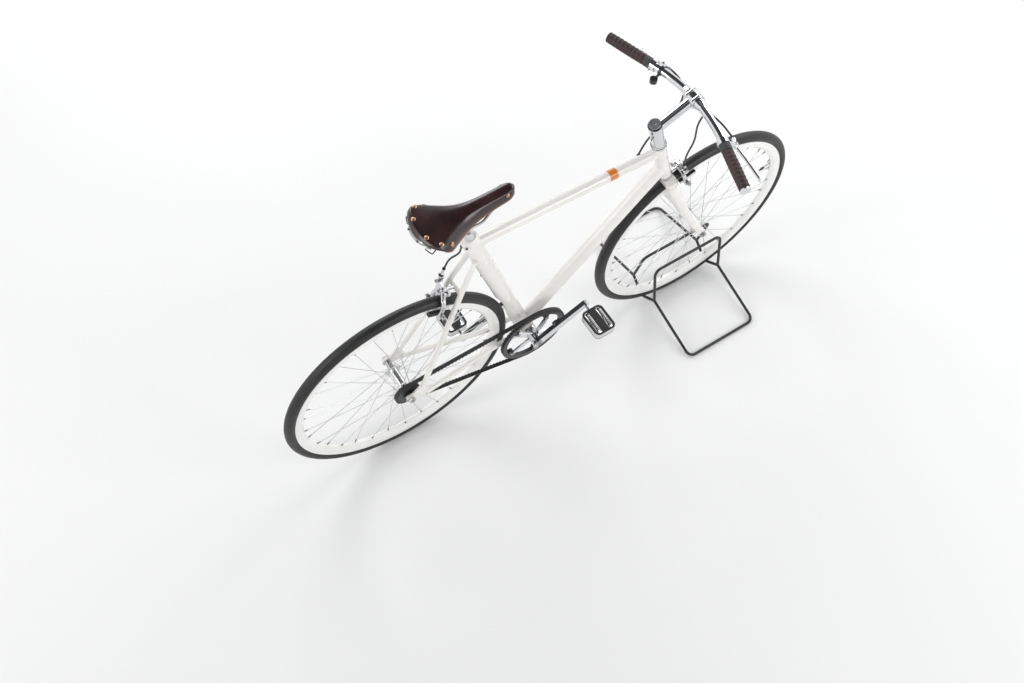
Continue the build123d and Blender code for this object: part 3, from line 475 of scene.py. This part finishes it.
cast_alloy = finish_of("cast_alloy", (0.60, 0.60, 0.61), (0.74, 0.74, 0.74), 0.3,
                       metal=1.0, mottle=40, grain=900, relief=0.08)
dress(cast_alloy, "pedal_left", "pedal_right")
tread_rubber = finish_of("tread_rubber", (0.012, 0.012, 0.013), (0.030, 0.030, 0.031), 0.7,
                         mottle=220, grain=1500, relief=0.8)
plate_from_axle, tread_lift = 0.0188, 0.011
plate_dish = [(0.0040, 0.0300, 0.0035, -0.0050), (0.0082, 0.0360, 0.0060, -0.0085), (0.0082, 0.0360, 0.0060, 0.0085),
              (0.0068, 0.0345, 0.0052, 0.0078), (0.0040, 0.0300, 0.0035, 0.0050)]
tread_border = [(0.0332, 0.0422, 0.0142, -0.0012), (0.0334, 0.0424, 0.0144, 0.0006), (0.0322, 0.0412, 0.0132, 0.0014),
                (0.0284, 0.0374, 0.0100, 0.0014), (0.0272, 0.0362, 0.0088, 0.0004), (0.0272, 0.0362, 0.0088, -0.0012)]
tread_bar = [(0.0112, 0.0368, 0.0010, -0.0012), (0.0112, 0.0368, 0.0010, 0.0006), (0.0100, 0.0362, 0.0010, 0.0012)]
for side in ("left", "right"):
    middle = joint_place[f"pedal_{side}_spin"]
    plates, treads = [], []
    for x in (plate_from_axle, -plate_from_axle):
        plates.append(pressed(middle + Vector((x, 0, 0)), (1, 0, 0), (0, 1, 0), plate_dish))
    for face in (1, -1):
        surface = middle + Vector((0, 0, face * tread_lift))
        treads.append(pressed(surface, (1, 0, 0), (0, face, 0), tread_border, closed=True))
        treads.append(pressed(surface, (1, 0, 0), (0, face, 0), tread_bar))
    show(f"pedal_{side}_plates", plates, polished_alloy, f"pedal_{side}")
    show(f"pedal_{side}_tread", treads, tread_rubber, f"pedal_{side}")


# ---------------- seat post
# A polished alloy post, clamped in the frame by a hidden wedge that a small grub
# screw draws up. Two bolts at its head hold the saddle's rails.
dress(polished_alloy, "seat_post")
rail_clamp = Vector((-0.28707, 0.0, 0.92923))
clamp_half = 0.029
clamp_bolts = []
for hand in (1, -1):
    place = rail_clamp + Vector((0, hand * clamp_half, 0))
    clamp_bolts.append(screw(place, (0, hand, 0), 0.0065, 0.004, 0.0028))
show("rail_clamp_bolts", clamp_bolts, bright_steel, "frame")
black_steel = finish_of("black_steel", (0.018, 0.018, 0.019), (0.04, 0.04, 0.042), 0.35,
                        metal=0.6, mottle=60, grain=900)
seat_up = Vector((-0.28903, 0.0, 0.95732))
seat_forward = Vector((0.95732, 0.0, 0.28903))
wedge_screw = bottom_bracket + seat_up * 0.582 - seat_forward * 0.0225 + Vector((0, -0.0132, 0))
wedge_screw_way = -seat_forward * 0.55 - Vector((0, 0.84, 0))
vent_plug = bottom_bracket + seat_up * 0.396 - seat_forward * 0.0285
show("seat_tube_screws", [
    screw(wedge_screw, wedge_screw_way, 0.0036, 0.0012, 0.0018),
    lathe(vent_plug, -seat_forward, [(-0.001, 0.0032), (0.0014, 0.003), (0.002, 0.0018)], 20),
], black_steel, "frame")


# ---------------- saddle
# One thick hide, wet-moulded over a form, dyed dark brown and waxed, with its cut
# edge left tan. Copper rivets fix it to a steel plate at the tail and at the nose.
def eased(stops, t):
    """A smooth value between (place, value) stops."""
    for k in range(len(stops) - 1):
        if t <= stops[k + 1][0]:
            break
    (t1, v1), (t2, v2) = stops[k], stops[k + 1]
    t0, v0 = stops[max(k - 1, 0)]
    t3, v3 = stops[min(k + 2, len(stops) - 1)]
    u = (t - t1) / (t2 - t1)
    m1 = (v2 - v0) / (t2 - t0) * (t2 - t1)
    m2 = (v3 - v1) / (t3 - t1) * (t2 - t1)
    leaving = (2 * u**3 - 3 * u**2 + 1) * v1 + (u**3 - 2 * u**2 + u) * m1
    return leaving + (3 * u**2 - 2 * u**3) * v2 + (u**3 - u**2) * m2


hide_nose_x, hide_tail_x = -0.1440, -0.4096
hide_length = hide_nose_x - hide_tail_x
crown_half = ((0.0, 0.0600), (0.08, 0.0620), (0.18, 0.0570), (0.29, 0.0425), (0.40, 0.0270), (0.50, 0.0185),
              (0.60, 0.0158), (0.72, 0.0148), (0.90, 0.0142), (1.0, 0.0125))
hem_half = ((0.0, 0.0715), (0.08, 0.0720), (0.18, 0.0700), (0.29, 0.0575), (0.40, 0.0430), (0.50, 0.0325),
            (0.60, 0.0258), (0.72, 0.0220), (0.90, 0.0200), (1.0, 0.0180))
hide_skirt = ((0.0, 0.016), (0.08, 0.026), (0.18, 0.033), (0.29, 0.036), (0.40, 0.037), (0.50, 0.035),
              (0.70, 0.030), (0.90, 0.026), (1.0, 0.022))
crown_share = 0.55
nose_start = 0.90
hide_top = 0.9958


def hide_point(t, s):
    """A point of the hide: t from tail to nose, s from -1 to 1 across it."""
    crown, hem, skirt = eased(crown_half, t), eased(hem_half, t), eased(hide_skirt, t)
    r = abs(s)
    if r < crown_share:
        y = crown * r / crown_share
        drop = 0.1 * skirt * (r / crown_share) ** 3
    else:
        q = (r - crown_share) / (1 - crown_share)
        y = crown + (hem - crown) * math.sin(math.pi / 2 * min(1.0, q * 1.1))
        drop = skirt * (0.1 + 0.9 * (q ** 1.5 * 0.45 + q * 0.55))
    sweep = 0.047 * (1 - math.sqrt(1 - (0.965 * min(1.0, y / hem)) ** 2.5)) * max(0.0, 1 - t / 0.4) ** 2
    if t > nose_start:
        y *= math.sqrt(max(0.0, 1 - ((t - nose_start) / 0.10) ** 2))
    height = hide_top - 0.011 * t - 0.008 * math.sin(math.pi * t)
    height -= 0.011 * (1 - 0.85 * r**3) * max(0.0, 1 - t / 0.055) ** 2
    height -= 0.009 * (1 - math.sqrt(max(0.0, 1 - max(0.0, (t - 0.94) / 0.06) ** 2)))
    return Vector((hide_tail_x + hide_length * t + sweep, math.copysign(y, s) if s else 0.0, height - drop))


def hide_normal(t, s):
    """The way out of the hide at a point of it."""
    e = 0.004
    t_way = hide_point(min(1.0, t + e), s) - hide_point(max(0.0, t - e), s)
    s_way = hide_point(t, min(1.0, s + e)) - hide_point(t, max(-1.0, s - e))
    return t_way.cross(s_way).normalized()


tail_rows = 9
hide_rows = [0.08 * (1 - math.cos(math.pi / 2 * k / tail_rows)) for k in range(tail_rows)]
hide_rows += [0.08 + 0.82 * k / 44 for k in range(44)]
hide_rows += [nose_start + 0.10 * math.sin(math.pi / 2 * k / 17) for k in range(18)]
rows, columns = len(hide_rows), 47
hide_columns = []
for j in range(columns):
    v = 2 * j / (columns - 1) - 1
    hide_columns.append(0.5 * (v + math.sin(math.pi / 2 * v)))
hide_thick = 0.0045
hide_corners, hide_faces = [], []
for depth in (0.0, hide_thick):
    for t in hide_rows:
        thin = depth * min(1.0, 0.15 + (1 - t) / 0.06)
        for s in hide_columns:
            hide_corners.append(hide_point(t, s) - hide_normal(min(t, 0.985), s) * thin)
sheet_size = rows * columns
shaved_edge = set()
for i in range(rows - 1):
    for j in range(columns - 1):
        a = i * columns + j
        if j in (0, 1, columns - 3, columns - 2) and i > tail_rows:
            shaved_edge.add(len(hide_faces))
        hide_faces.append((a, a + 1, a + columns + 1, a + columns))
        b = sheet_size + a
        hide_faces.append((b, b + columns, b + columns + 1, b + 1))
edge = list(range(columns)) + [i * columns + columns - 1 for i in range(1, rows)]
edge += [(rows - 1) * columns + j for j in range(columns - 2, -1, -1)]
edge += [i * columns for i in range(rows - 2, 0, -1)]
first_edge_face = len(hide_faces)
for a, b in zip(edge, edge[1:] + edge[:1]):
    hide_faces.append((a, sheet_size + a, sheet_size + b, b))


def hide_finish(name, dark, light, rough, creases, wax=0.3):
    """Waxed leather: drifting dye, fine pores and soft creases under a hard wax."""
    material = finish_of(name, dark, light, rough, mottle=16, grain=900, relief=0.12, coat=wax)
    nodes = material.node_tree.nodes
    links = material.node_tree.links
    place, bump = first_node(nodes, "ShaderNodeTexCoord"), first_node(nodes, "ShaderNodeBump")
    pores = nodes.new("ShaderNodeTexVoronoi")
    pores.feature = "DISTANCE_TO_EDGE"
    pores.inputs["Scale"].default_value = creases
    soft = nodes.new("ShaderNodeBump")
    soft.inputs["Strength"].default_value = 0.09
    soft.inputs["Distance"].default_value = 0.0006
    links.new(place.outputs["Object"], pores.inputs["Vector"])
    links.new(pores.outputs["Distance"], soft.inputs["Height"])
    links.new(bump.outputs["Normal"], soft.inputs["Normal"])
    links.new(soft.outputs["Normal"], nodes["Principled BSDF"].inputs["Normal"])
    return material


saddle_hide = hide_finish("saddle_hide", (0.0100, 0.0035, 0.0036), (0.034, 0.0112, 0.0102), 0.24, 420)
cut_edge = finish_of("cut_edge", (0.22, 0.070, 0.022), (0.38, 0.135, 0.045), 0.6,
                     mottle=60, grain=1500, relief=0.4)
saddle_top = show("saddle_top", [(hide_corners, hide_faces)], saddle_hide, "frame", 60)
saddle_top.data.materials.append(cut_edge)
for face in saddle_top.data.polygons:
    if face.index >= first_edge_face or face.index in shaved_edge:
        face.material_index = 1
rounding = saddle_top.modifiers.new("rounded_edge", "BEVEL")
rounding.width = 0.0007
rounding.segments = 2
rounding.limit_method = "ANGLE"
rounding.angle_limit = math.radians(50)
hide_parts("saddle_leather")

copper = finish_of("copper", (0.40, 0.215, 0.125), (0.62, 0.38, 0.25), 0.3, metal=1.0, mottle=120, grain=900)
rivet_sink = 0.0006
rivets = []
for t, s, head in ((0.050, 0.26, 0.0056), (0.100, 0.535, 0.0056), (0.212, 0.75, 0.0056), (0.897, 0.68, 0.0048)):
    for hand in (1, -1):
        way = hide_normal(t, s * hand)
        dome = [(0, head), (0.0011, head), (0.0019, head * 0.86), (0.0024, head * 0.5), (0.0025, head * 0.1)]
        rivets.append(lathe(hide_point(t, s * hand) - way * rivet_sink, way, dome, 28))
show("saddle_rivets", rivets, copper, "frame")


def drawn(points, radius, sides=14, rounds=10):
    """Round wire or hose along a smooth line through the points."""
    line = []
    for k in range(len(points) - 1):
        p1, p2 = Vector(points[k]), Vector(points[k + 1])
        p0 = Vector(points[k - 1]) if k else p1 * 2 - p2
        p3 = Vector(points[k + 2]) if k + 2 < len(points) else p2 * 2 - p1
        for i in range(rounds):
            u = i / rounds
            bend = (p0 * 2 - p1 * 5 + p2 * 4 - p3) * u * u + (p1 * 3 - p0 - p2 * 3 + p3) * u**3
            line.append((p1 * 2 + (p2 - p0) * u + bend) / 2)
    line.append(Vector(points[-1]))
    corners = []
    across = None
    for k, at in enumerate(line):
        way = (line[min(k + 1, len(line) - 1)] - line[max(k - 1, 0)]).normalized()
        across = way.orthogonal() if across is None else across - way * across.dot(way)
        across.normalize()
        up = way.cross(across)
        for i in range(sides):
            a = math.tau * i / sides
            corners.append(at + (across * math.cos(a) + up * math.sin(a)) * radius)
    return corners, ring_faces(len(line), sides)


plate_corners = []
plate_section = ((0.0200, 0.9846), (0.0040, 0.9848), (-0.0030, 0.9815), (-0.0062, 0.9752),
                 (-0.0054, 0.9746), (-0.0018, 0.9803), (0.0044, 0.9834), (0.0200, 0.9832))
plate_half, lip_half, lip_root = 0.052, 0.036, 0.004
plate_steps = 40
for j in range(plate_steps + 1):
    y = plate_half * (2 * j / plate_steps - 1)
    edge_x = hide_tail_x + 0.034 * (1 - math.sqrt(1 - (abs(y) / 0.0715) ** 2.5))
    lip = math.sqrt(max(0.0, 1 - (y / lip_half) ** 2))
    for step_x, z in plate_section:
        if step_x < lip_root:
            step_x = lip_root + (step_x - lip_root) * lip
        plate_corners.append(Vector((edge_x + step_x, y, z)))
tail_plate = (plate_corners, ring_faces(plate_steps + 1, len(plate_section)))
nose_block = [(0.0050, 0.0070, 0.0020, -0.0070), (0.0062, 0.0084, 0.0030, -0.0056),
              (0.0066, 0.0088, 0.0032, 0.0080), (0.0050, 0.0076, 0.0026, 0.0100)]
rail_line = [(-0.1617, 0.0060, 0.9700), (-0.2000, 0.0125, 0.9545), (-0.2300, 0.0188, 0.9362),
             (-0.2420, 0.0214, 0.9308), (-0.2560, 0.0220, 0.9292), (-0.2870, 0.0220, 0.9292),
             (-0.3180, 0.0220, 0.9292), (-0.3340, 0.0226, 0.9310), (-0.3480, 0.0256, 0.9372),
             (-0.3800, 0.0345, 0.9590), (-0.4030, 0.0408, 0.9752)]
rail_radius = 0.0035
frame_parts = [tail_plate, pressed((-0.1617, 0, 0.970), (1, 0, 0), (0, 1, 0), nose_block)]
for hand in (1, -1):
    frame_parts.append(drawn([(x, hand * y, z) for x, y, z in rail_line], rail_radius, 18, 6))
saddle_frame = show("saddle_frame", frame_parts, bright_steel, "frame")
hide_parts("saddle_rails")
plate_out = Vector((-0.86, 0, 0.50))
stud_profile = [(-0.001, 0.0024), (0.0004, 0.0024), (0.0006, 0.0018)]
plate_studs = [lathe((-0.4136, y, 0.9786), plate_out, stud_profile, 20) for y in (0.021, -0.018)]
show("saddle_plate_studs", plate_studs, black_steel, "frame")
loop_line = [(-0.3920, 0.037, 0.976), (-0.4020, 0.038, 0.971), (-0.4043, 0.042, 0.969),
             (-0.3990, 0.056, 0.968), (-0.3960, 0.058, 0.969), (-0.3850, 0.055, 0.974)]
loop_radius = 0.0014
bag_loops = [drawn([(x, hand * y, z) for x, y, z in loop_line], loop_radius) for hand in (1, -1)]
show("saddle_bag_loops", bag_loops, black_steel, "frame")


# ---------------- rim brakes
# Polished dual-pivot calipers on one bolt each. Black shoes with rubber blocks stand
# beside the rim, and a knurled black adjuster takes the cable.
brake_alloy = finish_of("brake_alloy", (0.58, 0.58, 0.60), (0.72, 0.72, 0.73), 0.17,
                        metal=1.0, mottle=60, grain=900)
dress(brake_alloy, "front_brake", "rear_brake")
shoe_rubber = finish_of("shoe_rubber", (0.014, 0.014, 0.015), (0.032, 0.032, 0.033), 0.6,
                        mottle=90, grain=1200, relief=0.5)
sideways = Vector((0, 1, 0))
shoe_radius, shoe_from_middle, stud_from_middle, washer_from_middle = 0.307, 0.018, 0.040, 0.0335
arm_half_depth, arm_radius, wire_radius = 0.0044, 0.0052, 0.0009
washer_profile = [(0, 0.0062), (0.0008, 0.0068), (0.0028, 0.0068), (0.0036, 0.006)]
knurl_profile = [(0, 0.0052), (0.0004, 0.0066), (0.0016, 0.0066), (0.0020, 0.0061), (0.0026, 0.0066),
                 (0.0040, 0.0066), (0.0046, 0.0061), (0.0052, 0.0066), (0.0066, 0.0066), (0.0072, 0.0050)]
sleeve_profile = [(0, 0.0043), (0.0004, 0.0046), (0.0038, 0.0046), (0.0043, 0.0036)]
for end, out, front, bolt_up, cable_side in (
    ("front", Vector((-0.3083, 0, 0.9513)), Vector((0.9513, 0, 0.3083)), 0.35362, -1),
    ("rear", Vector((0.4168, 0, 0.9090)), Vector((-0.9090, 0, 0.4168)), 0.37340, 1),
):
    body = "fork" if end == "front" else "frame"
    axle = joint_place[f"{end}_wheel_spin"]
    span = sideways * -cable_side
    outer_arm = [(-0.002, bolt_up), (0.013, 0.3510), (0.0225, 0.3430), (0.0268, 0.3280),
                 (0.0270, 0.3150), (0.0262, 0.3060)]
    inner_arm = [(0.014, bolt_up - 0.002), (-0.004, 0.3560), (-0.0200, 0.3460), (-0.0266, 0.3290),
                 (-0.0270, 0.3150), (-0.0262, 0.3060)]
    castings = []
    for line, lean in ((outer_arm, arm_half_depth), (inner_arm, -arm_half_depth)):
        castings.append(drawn([axle + span * u + out * v + front * lean for u, v in line], arm_radius, 18, 8))
    show(f"{end}_brake_castings", castings, brake_alloy, body)
    shoes, steel_bits = [], []
    rim_middle = axle + out * shoe_radius
    for hand in (1, -1):
        block = rim_middle + front * 0.009 + sideways * hand * shoe_from_middle
        shoes.append(pressed(block, front, out, [
            (0.0262, 0.0048, 0.0020, -0.0039 * hand), (0.0266, 0.0058, 0.0030, -0.0028 * hand),
            (0.0266, 0.0058, 0.0030, 0.0030 * hand), (0.0266, 0.0064, 0.0030, 0.0034 * hand),
            (0.0258, 0.0060, 0.0030, 0.0056 * hand), (0.0230, 0.0040, 0.0020, 0.0064 * hand)]))
        stud = rim_middle + sideways * hand * stud_from_middle
        steel_bits.append(screw(stud, sideways * hand, 0.0052, 0.0035, 0.0024))
        washer = rim_middle + sideways * hand * washer_from_middle
        steel_bits.append(lathe(washer, sideways * hand, washer_profile, 28))
    show(f"{end}_brake_shoes", shoes, shoe_rubber, body)
    steel_bits.append(screw(axle + out * bolt_up + front * 0.0142, front, 0.0062, 0.0042, 0.0027))
    pivot = axle + out * (bolt_up - 0.002) - sideways * cable_side * 0.014
    steel_bits.append(screw(pivot + front * 0.0095, front, 0.0044, 0.002, 0.0022))
    anchor = axle + out * (bolt_up + 0.004) + sideways * cable_side * 0.028
    steel_bits.append(screw(anchor + front * 0.0072, front, 0.0048, 0.0036, 0.0024))
    show(f"{end}_brake_screws", steel_bits, bright_steel, body)
    foot = axle + out * (bolt_up + 0.016) + sideways * cable_side * 0.028 + front * 0.002
    knurl = lathe(foot + out * 0.0075, out, knurl_profile, 28)
    sleeve = lathe(foot + out * 0.0300, out, sleeve_profile, 24)
    show(f"{end}_brake_adjuster", [knurl, sleeve], black_steel, body)
    wire_line = [foot + out * 0.004, foot - out * 0.006, anchor + front * 0.009 - out * 0.001]
    show(f"{end}_brake_wire", [drawn(wire_line, wire_radius, 8)], bright_steel, body)


# ---------------- headset, stem and bar
# Polished alloy throughout. A dark cap preloads the bearings with one bolt, two
# bolts pinch the stem on the steerer, and a faceplate with four bolts holds the bar.
dress(polished_alloy, "headset_cups", "headset_stack", "stem", "handlebar")
steering = next(joint for joint in frame["record"]["behaviour"]["joints"] if joint["name"] == "steering")
steer_up = Vector(steering["axis"])
steer_forward = Vector((steer_up.z, 0.0, -steer_up.x))
steerer_top = Vector((0.26704, 0.0, 0.92722))
cap_grey = finish_of("cap_grey", (0.17, 0.175, 0.185), (0.26, 0.265, 0.275), 0.42,
                     metal=0.85, mottle=60, grain=900)
cap_profile = [(-0.0005, 0.0157), (0.0010, 0.0157), (0.0022, 0.0146),
               (0.0026, 0.0120), (0.0020, 0.0072), (0.0006, 0.0060)]
cap_disc = lathe(steerer_top + steer_up * 0.0066, steer_up, cap_profile, 56)
show("steerer_cap", [cap_disc], cap_grey, "fork")
stem_bolts = [screw(steerer_top + steer_up * 0.0080, steer_up, 0.0046, 0.0022, 0.0026)]
clamp_foot = steerer_top - steer_up * 0.038
for lift in (0.0095, 0.0285):
    pinch = clamp_foot + steer_up * lift - steer_forward * 0.0165 - sideways * 0.0085
    stem_bolts.append(screw(pinch, (-0.35, -1, 0), 0.0036, 0.0034, 0.002))
bar_middle = Vector((0.38056, 0.0, 0.95699))
reach = (bar_middle - (clamp_foot + steer_up * 0.019)).normalized()
reach_up = reach.cross(sideways)
reach_up = reach_up if reach_up.z > 0 else -reach_up
bolt_lift, bolt_aside, bolt_seat, seam_lift = 0.0165, 0.0115, 0.0112, 0.0186
boss_profile = [(-0.0120, 0.0048), (0.0104, 0.0050), (0.0112, 0.0043), (0.0112, 0.0030)]
bosses = []
for lift in (1, -1):
    for hand in (1, -1):
        place = bar_middle + reach_up * lift * bolt_lift + sideways * hand * bolt_aside
        stem_bolts.append(screw(place + reach * bolt_seat, reach, 0.0036, 0.0030, 0.002))
        bosses.append(lathe(place, reach, boss_profile, 28))
show("stem_bolts", stem_bolts, bright_steel, "fork")
show("stem_bolt_bosses", bosses, polished_alloy, "fork")
# Thin near-black strips paint the shade in the faceplate's gaps above and below the bar.
faceplate_gap_shade = finish_of("faceplate_gap_shade", (0.02, 0.02, 0.021), (0.05, 0.05, 0.052), 0.5, mottle=90)
gap_shade_strip = [(0.0172, 0.0007, 0.0003, -0.0018), (0.0172, 0.0007, 0.0003, 0.0016)]
gap_shades = []
for lift in (1, -1):
    seam = bar_middle + reach * 0.0006 + reach_up * lift * seam_lift
    gap_shades.append(pressed(seam, sideways, reach, gap_shade_strip))
show("faceplate_gap_shades", gap_shades, faceplate_gap_shade, "fork")
for name, body, place, profile in (
    ("bearing_ring_lower", "frame", (0.34122, 0.0, 0.67678),
     [(-0.0006, 0.0205), (-0.0006, 0.0212), (0.0014, 0.0214), (0.0030, 0.0207), (0.0030, 0.0204)]),
    ("bearing_ring_upper", "fork", (0.29289, 0.0, 0.83997),
     [(-0.0002, 0.0173), (-0.0002, 0.0192), (0.0010, 0.0194), (0.0036, 0.0187), (0.0052, 0.0178), (0.0052, 0.0173)]),
):
    ring = lathe(place, steer_up, profile, 64, closed=True)
    show(name, [ring], polished_alloy, body)


# ---------------- grips
# Brown leather wrapped and stitched over ribbed foam. A black moulded collar closes
# each grip beside the lever. The bar's ends are plugged, bright right and black left.
grip_hide = hide_finish("grip_hide", (0.018, 0.0080, 0.0074), (0.044, 0.0195, 0.0175), 0.62, 900, 0.06)
collar_black = finish_of("collar_black", (0.020, 0.021, 0.022), (0.042, 0.043, 0.045), 0.5,
                         mottle=160, grain=1500, relief=0.6)
stitch_thread = finish_of("stitch_thread", (0.13, 0.075, 0.055), (0.20, 0.12, 0.09), 0.8, mottle=300)
grip_length, collar_length, bar_in_grip = 0.1365, 0.021, 0.135
rib_pitch, rib_start, seam_angle = 0.0122, 0.35, math.pi * 1.08
hide_radius, hide_padding, groove_depth = 0.0128, 0.0013, 0.0019
steps, turns = 116, 56
collar_profile = [(0.0002, 0.0116), (0.0002, 0.0134), (0.0012, 0.0142),
                  (0.0195, 0.0142), (0.0212, 0.0136), (0.0212, 0.0116)]
plug_profile = [(-0.0012, 0.0138), (0.0006, 0.0140), (0.0018, 0.0132),
                (0.0022, 0.0105), (0.0014, 0.0085), (0.0012, 0.0010)]
stitch_count, stitch_pitch, stitch_radius, stitch_spread = 38, 0.0029, 0.01405, 0.17
stitch_shape = [(0.0009, 0.0003, 0.0002, -0.0005), (0.0009, 0.0004, 0.0003, 0.0001), (0.0005, 0.0002, 0.0002, 0.0004)]
for side, hand, plug_finish, plug_slot in (
    ("left", 1, collar_black, "black_plastic"),
    ("right", -1, polished_alloy, "polished_alloy"),
):
    outward = Vector((-0.27722, hand * 0.96044, -0.02668)).normalized()
    bar_end = Vector((0.32411, hand * 0.278, 0.94599))
    start = bar_end - outward * bar_in_grip
    fore = Vector((1, 0, 0)) - outward * outward.x
    fore.normalize()
    above = fore.cross(outward)
    above = above if above.z > 0 else -above
    corners = []
    for k in range(steps + 1):
        u = k / steps
        along = collar_length + (grip_length - collar_length - 0.001) * k / steps
        rib = (along - collar_length) / rib_pitch + rib_start
        groove = math.exp(-(((rib % 1.0) - 0.5) / 0.17) ** 2)
        ends = min(1.0, u / 0.02, (1 - u) / 0.02)
        for i in range(turns):
            a = math.tau * i / turns
            facing = 0.5 + 0.5 * math.cos(a - 0.25)
            depth = groove_depth * groove * (0.10 + 0.90 * facing ** 0.7)
            seam = 0.0006 * math.exp(-(((a - seam_angle) / 0.10) ** 2))
            swell = hide_padding * math.sqrt(max(0.0, ends)) + 0.0005 * math.sin(math.pi * u)
            radius = hide_radius + swell - depth - seam
            corners.append(start + outward * along + (fore * math.cos(a) + above * math.sin(a)) * radius)
    sleeve = (corners, ring_faces(steps + 1, turns))
    grip = show(f"grip_{side}_hide", [sleeve], grip_hide, "fork", 70)
    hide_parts(f"grip_{side}")
    collar = lathe(start, outward, collar_profile, 56, closed=True)
    show(f"grip_{side}_collar", [collar], collar_black, "fork")
    plug = lathe(start, outward, [(grip_length + along, radius) for along, radius in plug_profile], 56)
    show(f"grip_{side}_plug", [plug], plug_finish, "fork")
    stitches = []
    for k in range(stitch_count):
        along = collar_length + 0.003 + stitch_pitch * k
        for a in (seam_angle - stitch_spread, seam_angle + stitch_spread):
            way = fore * math.cos(a) + above * math.sin(a)
            place = start + outward * along + way * stitch_radius
            stitches.append(pressed(place, outward, way.cross(outward), stitch_shape, round_steps=2))
    show(f"grip_{side}_stitches", stitches, stitch_thread, "fork")


# ---------------- brake levers and bell
# Slim polished levers on narrow bands, each with a pivot screw, a pinch screw and an
# alloy barrel for the cable. A small black bell is clamped beside the left one.
dress(polished_alloy, "brake_lever_left", "brake_lever_right")
bell_black = finish_of("bell_black", (0.014, 0.014, 0.015), (0.030, 0.030, 0.031), 0.25, mottle=60, grain=900)
dress(bell_black, "bell")
barrel_profile = [(0, 0.0046), (0.0005, 0.0056), (0.0022, 0.0056), (0.0028, 0.0050), (0.0034, 0.0056),
                  (0.0058, 0.0056), (0.0064, 0.0048), (0.0084, 0.0042), (0.0088, 0.0030)]
lever_screws, barrels = [], []
for hand in (1, -1):
    band = Vector((0.36353, hand * 0.14143, 0.94979))
    perch = Vector((0.40153, hand * 0.14943, 0.91979))
    outlet = Vector((0.41253, hand * 0.12843, 0.91879))
    pivot, pinch = perch + Vector((0.0010, 0, 0.0082)), band + Vector((-0.0142, 0, -0.004))
    lever_screws.append(screw(pivot, (0.1, 0, 1), 0.0044, 0.0026, 0.0022))
    lever_screws.append(screw(pinch, (-1, -hand * 0.28, -0.25), 0.0034, 0.003, 0.0019))
    way = (outlet - perch).normalized()
    barrels.append(lathe(outlet - way * 0.0085, way, barrel_profile, 28))
show("lever_screws", lever_screws, bright_steel, "fork")
show("lever_barrels", barrels, brake_alloy, "fork")


# ---------------- brake cables
# Steel wires in black plastic housings, held by the bicycle from end to end. Crimped
# ferrules finish each end, and the one beside the head tube is drawn along a smooth curve.
cable_sheath = finish_of("cable_sheath", (0.012, 0.012, 0.013), (0.024, 0.024, 0.025), 0.32, mottle=60, grain=800)
dress(cable_sheath, "front_brake_cable", "rear_brake_cable")
cable_radius = 0.0025
steering_route = bpy.data.curves.new("steering_cable_line", "CURVE")
steering_route.dimensions = "3D"
steering_route.bevel_depth = cable_radius
steering_route.bevel_resolution = 5
steering_route.resolution_u = 14
steering_route.use_fill_caps = True
run = steering_route.splines.new("NURBS")
route_points = [(0.41253, 0.12843, 0.91879), (0.41653, 0.07243, 0.92379), (0.38756, 0.0420, 0.89199),
                (0.3405, 0.0320, 0.86215), (0.2925, 0.0340, 0.83415), (0.25833, 0.0230, 0.81112),
                (0.23035, 0.0070, 0.80115)]
run.points.add(len(route_points) - 1)
for control, at in zip(run.points, route_points):
    control.co = (*at, 1.0)
run.order_u = 3
run.use_endpoint_u = True
line = bpy.data.objects.new("steering_cable_line", steering_route)
bpy.context.collection.objects.link(line)
bpy.context.view_layer.update()
steering_mesh = bpy.data.meshes.new_from_object(line.evaluated_get(bpy.context.evaluated_depsgraph_get()))
bpy.data.objects.remove(line)
steering_mesh.materials.clear()
steering_mesh.materials.append(cable_sheath)
steering_cable = bpy.data.objects.new("steering_cable", steering_mesh)
bpy.context.collection.objects.link(steering_cable)
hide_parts("rear_cable_front")
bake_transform(steering_cable)
ferrule_black = finish_of("ferrule_black", (0.016, 0.016, 0.017), (0.03, 0.03, 0.031), 0.4, mottle=90)
ferrule_profile = [(-0.0050, 0.0026), (-0.0046, 0.0032), (-0.0012, 0.0033),
                   (-0.0008, 0.0042), (0.0008, 0.0044), (0.0016, 0.0040)]
for name, place, way in (
    ("cable_stop_top", (0.2461, 0.0152, 0.8067), (-0.85, -0.45, -0.30)),
    ("cable_stop_seat", (-0.2853, 0.0060, 0.8255), (-0.08, 0.0, -1.0)),
):
    ferrule = lathe(place, way, ferrule_profile, 28)
    show(name, [ferrule], ferrule_black, "frame")


# ---------------- display stand
# Round steel wire bent into two loops that clasp the front tyre, joined by two welded
# cross wires and coated in satin black. It stands on the floor by its lower bends.
wire_black = finish_of("wire_black", (0.013, 0.013, 0.014), (0.028, 0.028, 0.029), 0.38,
                       mottle=24, grain=600, relief=0.08)
dress(wire_black, "stand_loop_left", "stand_loop_right", "stand_cross_front", "stand_cross_rear")
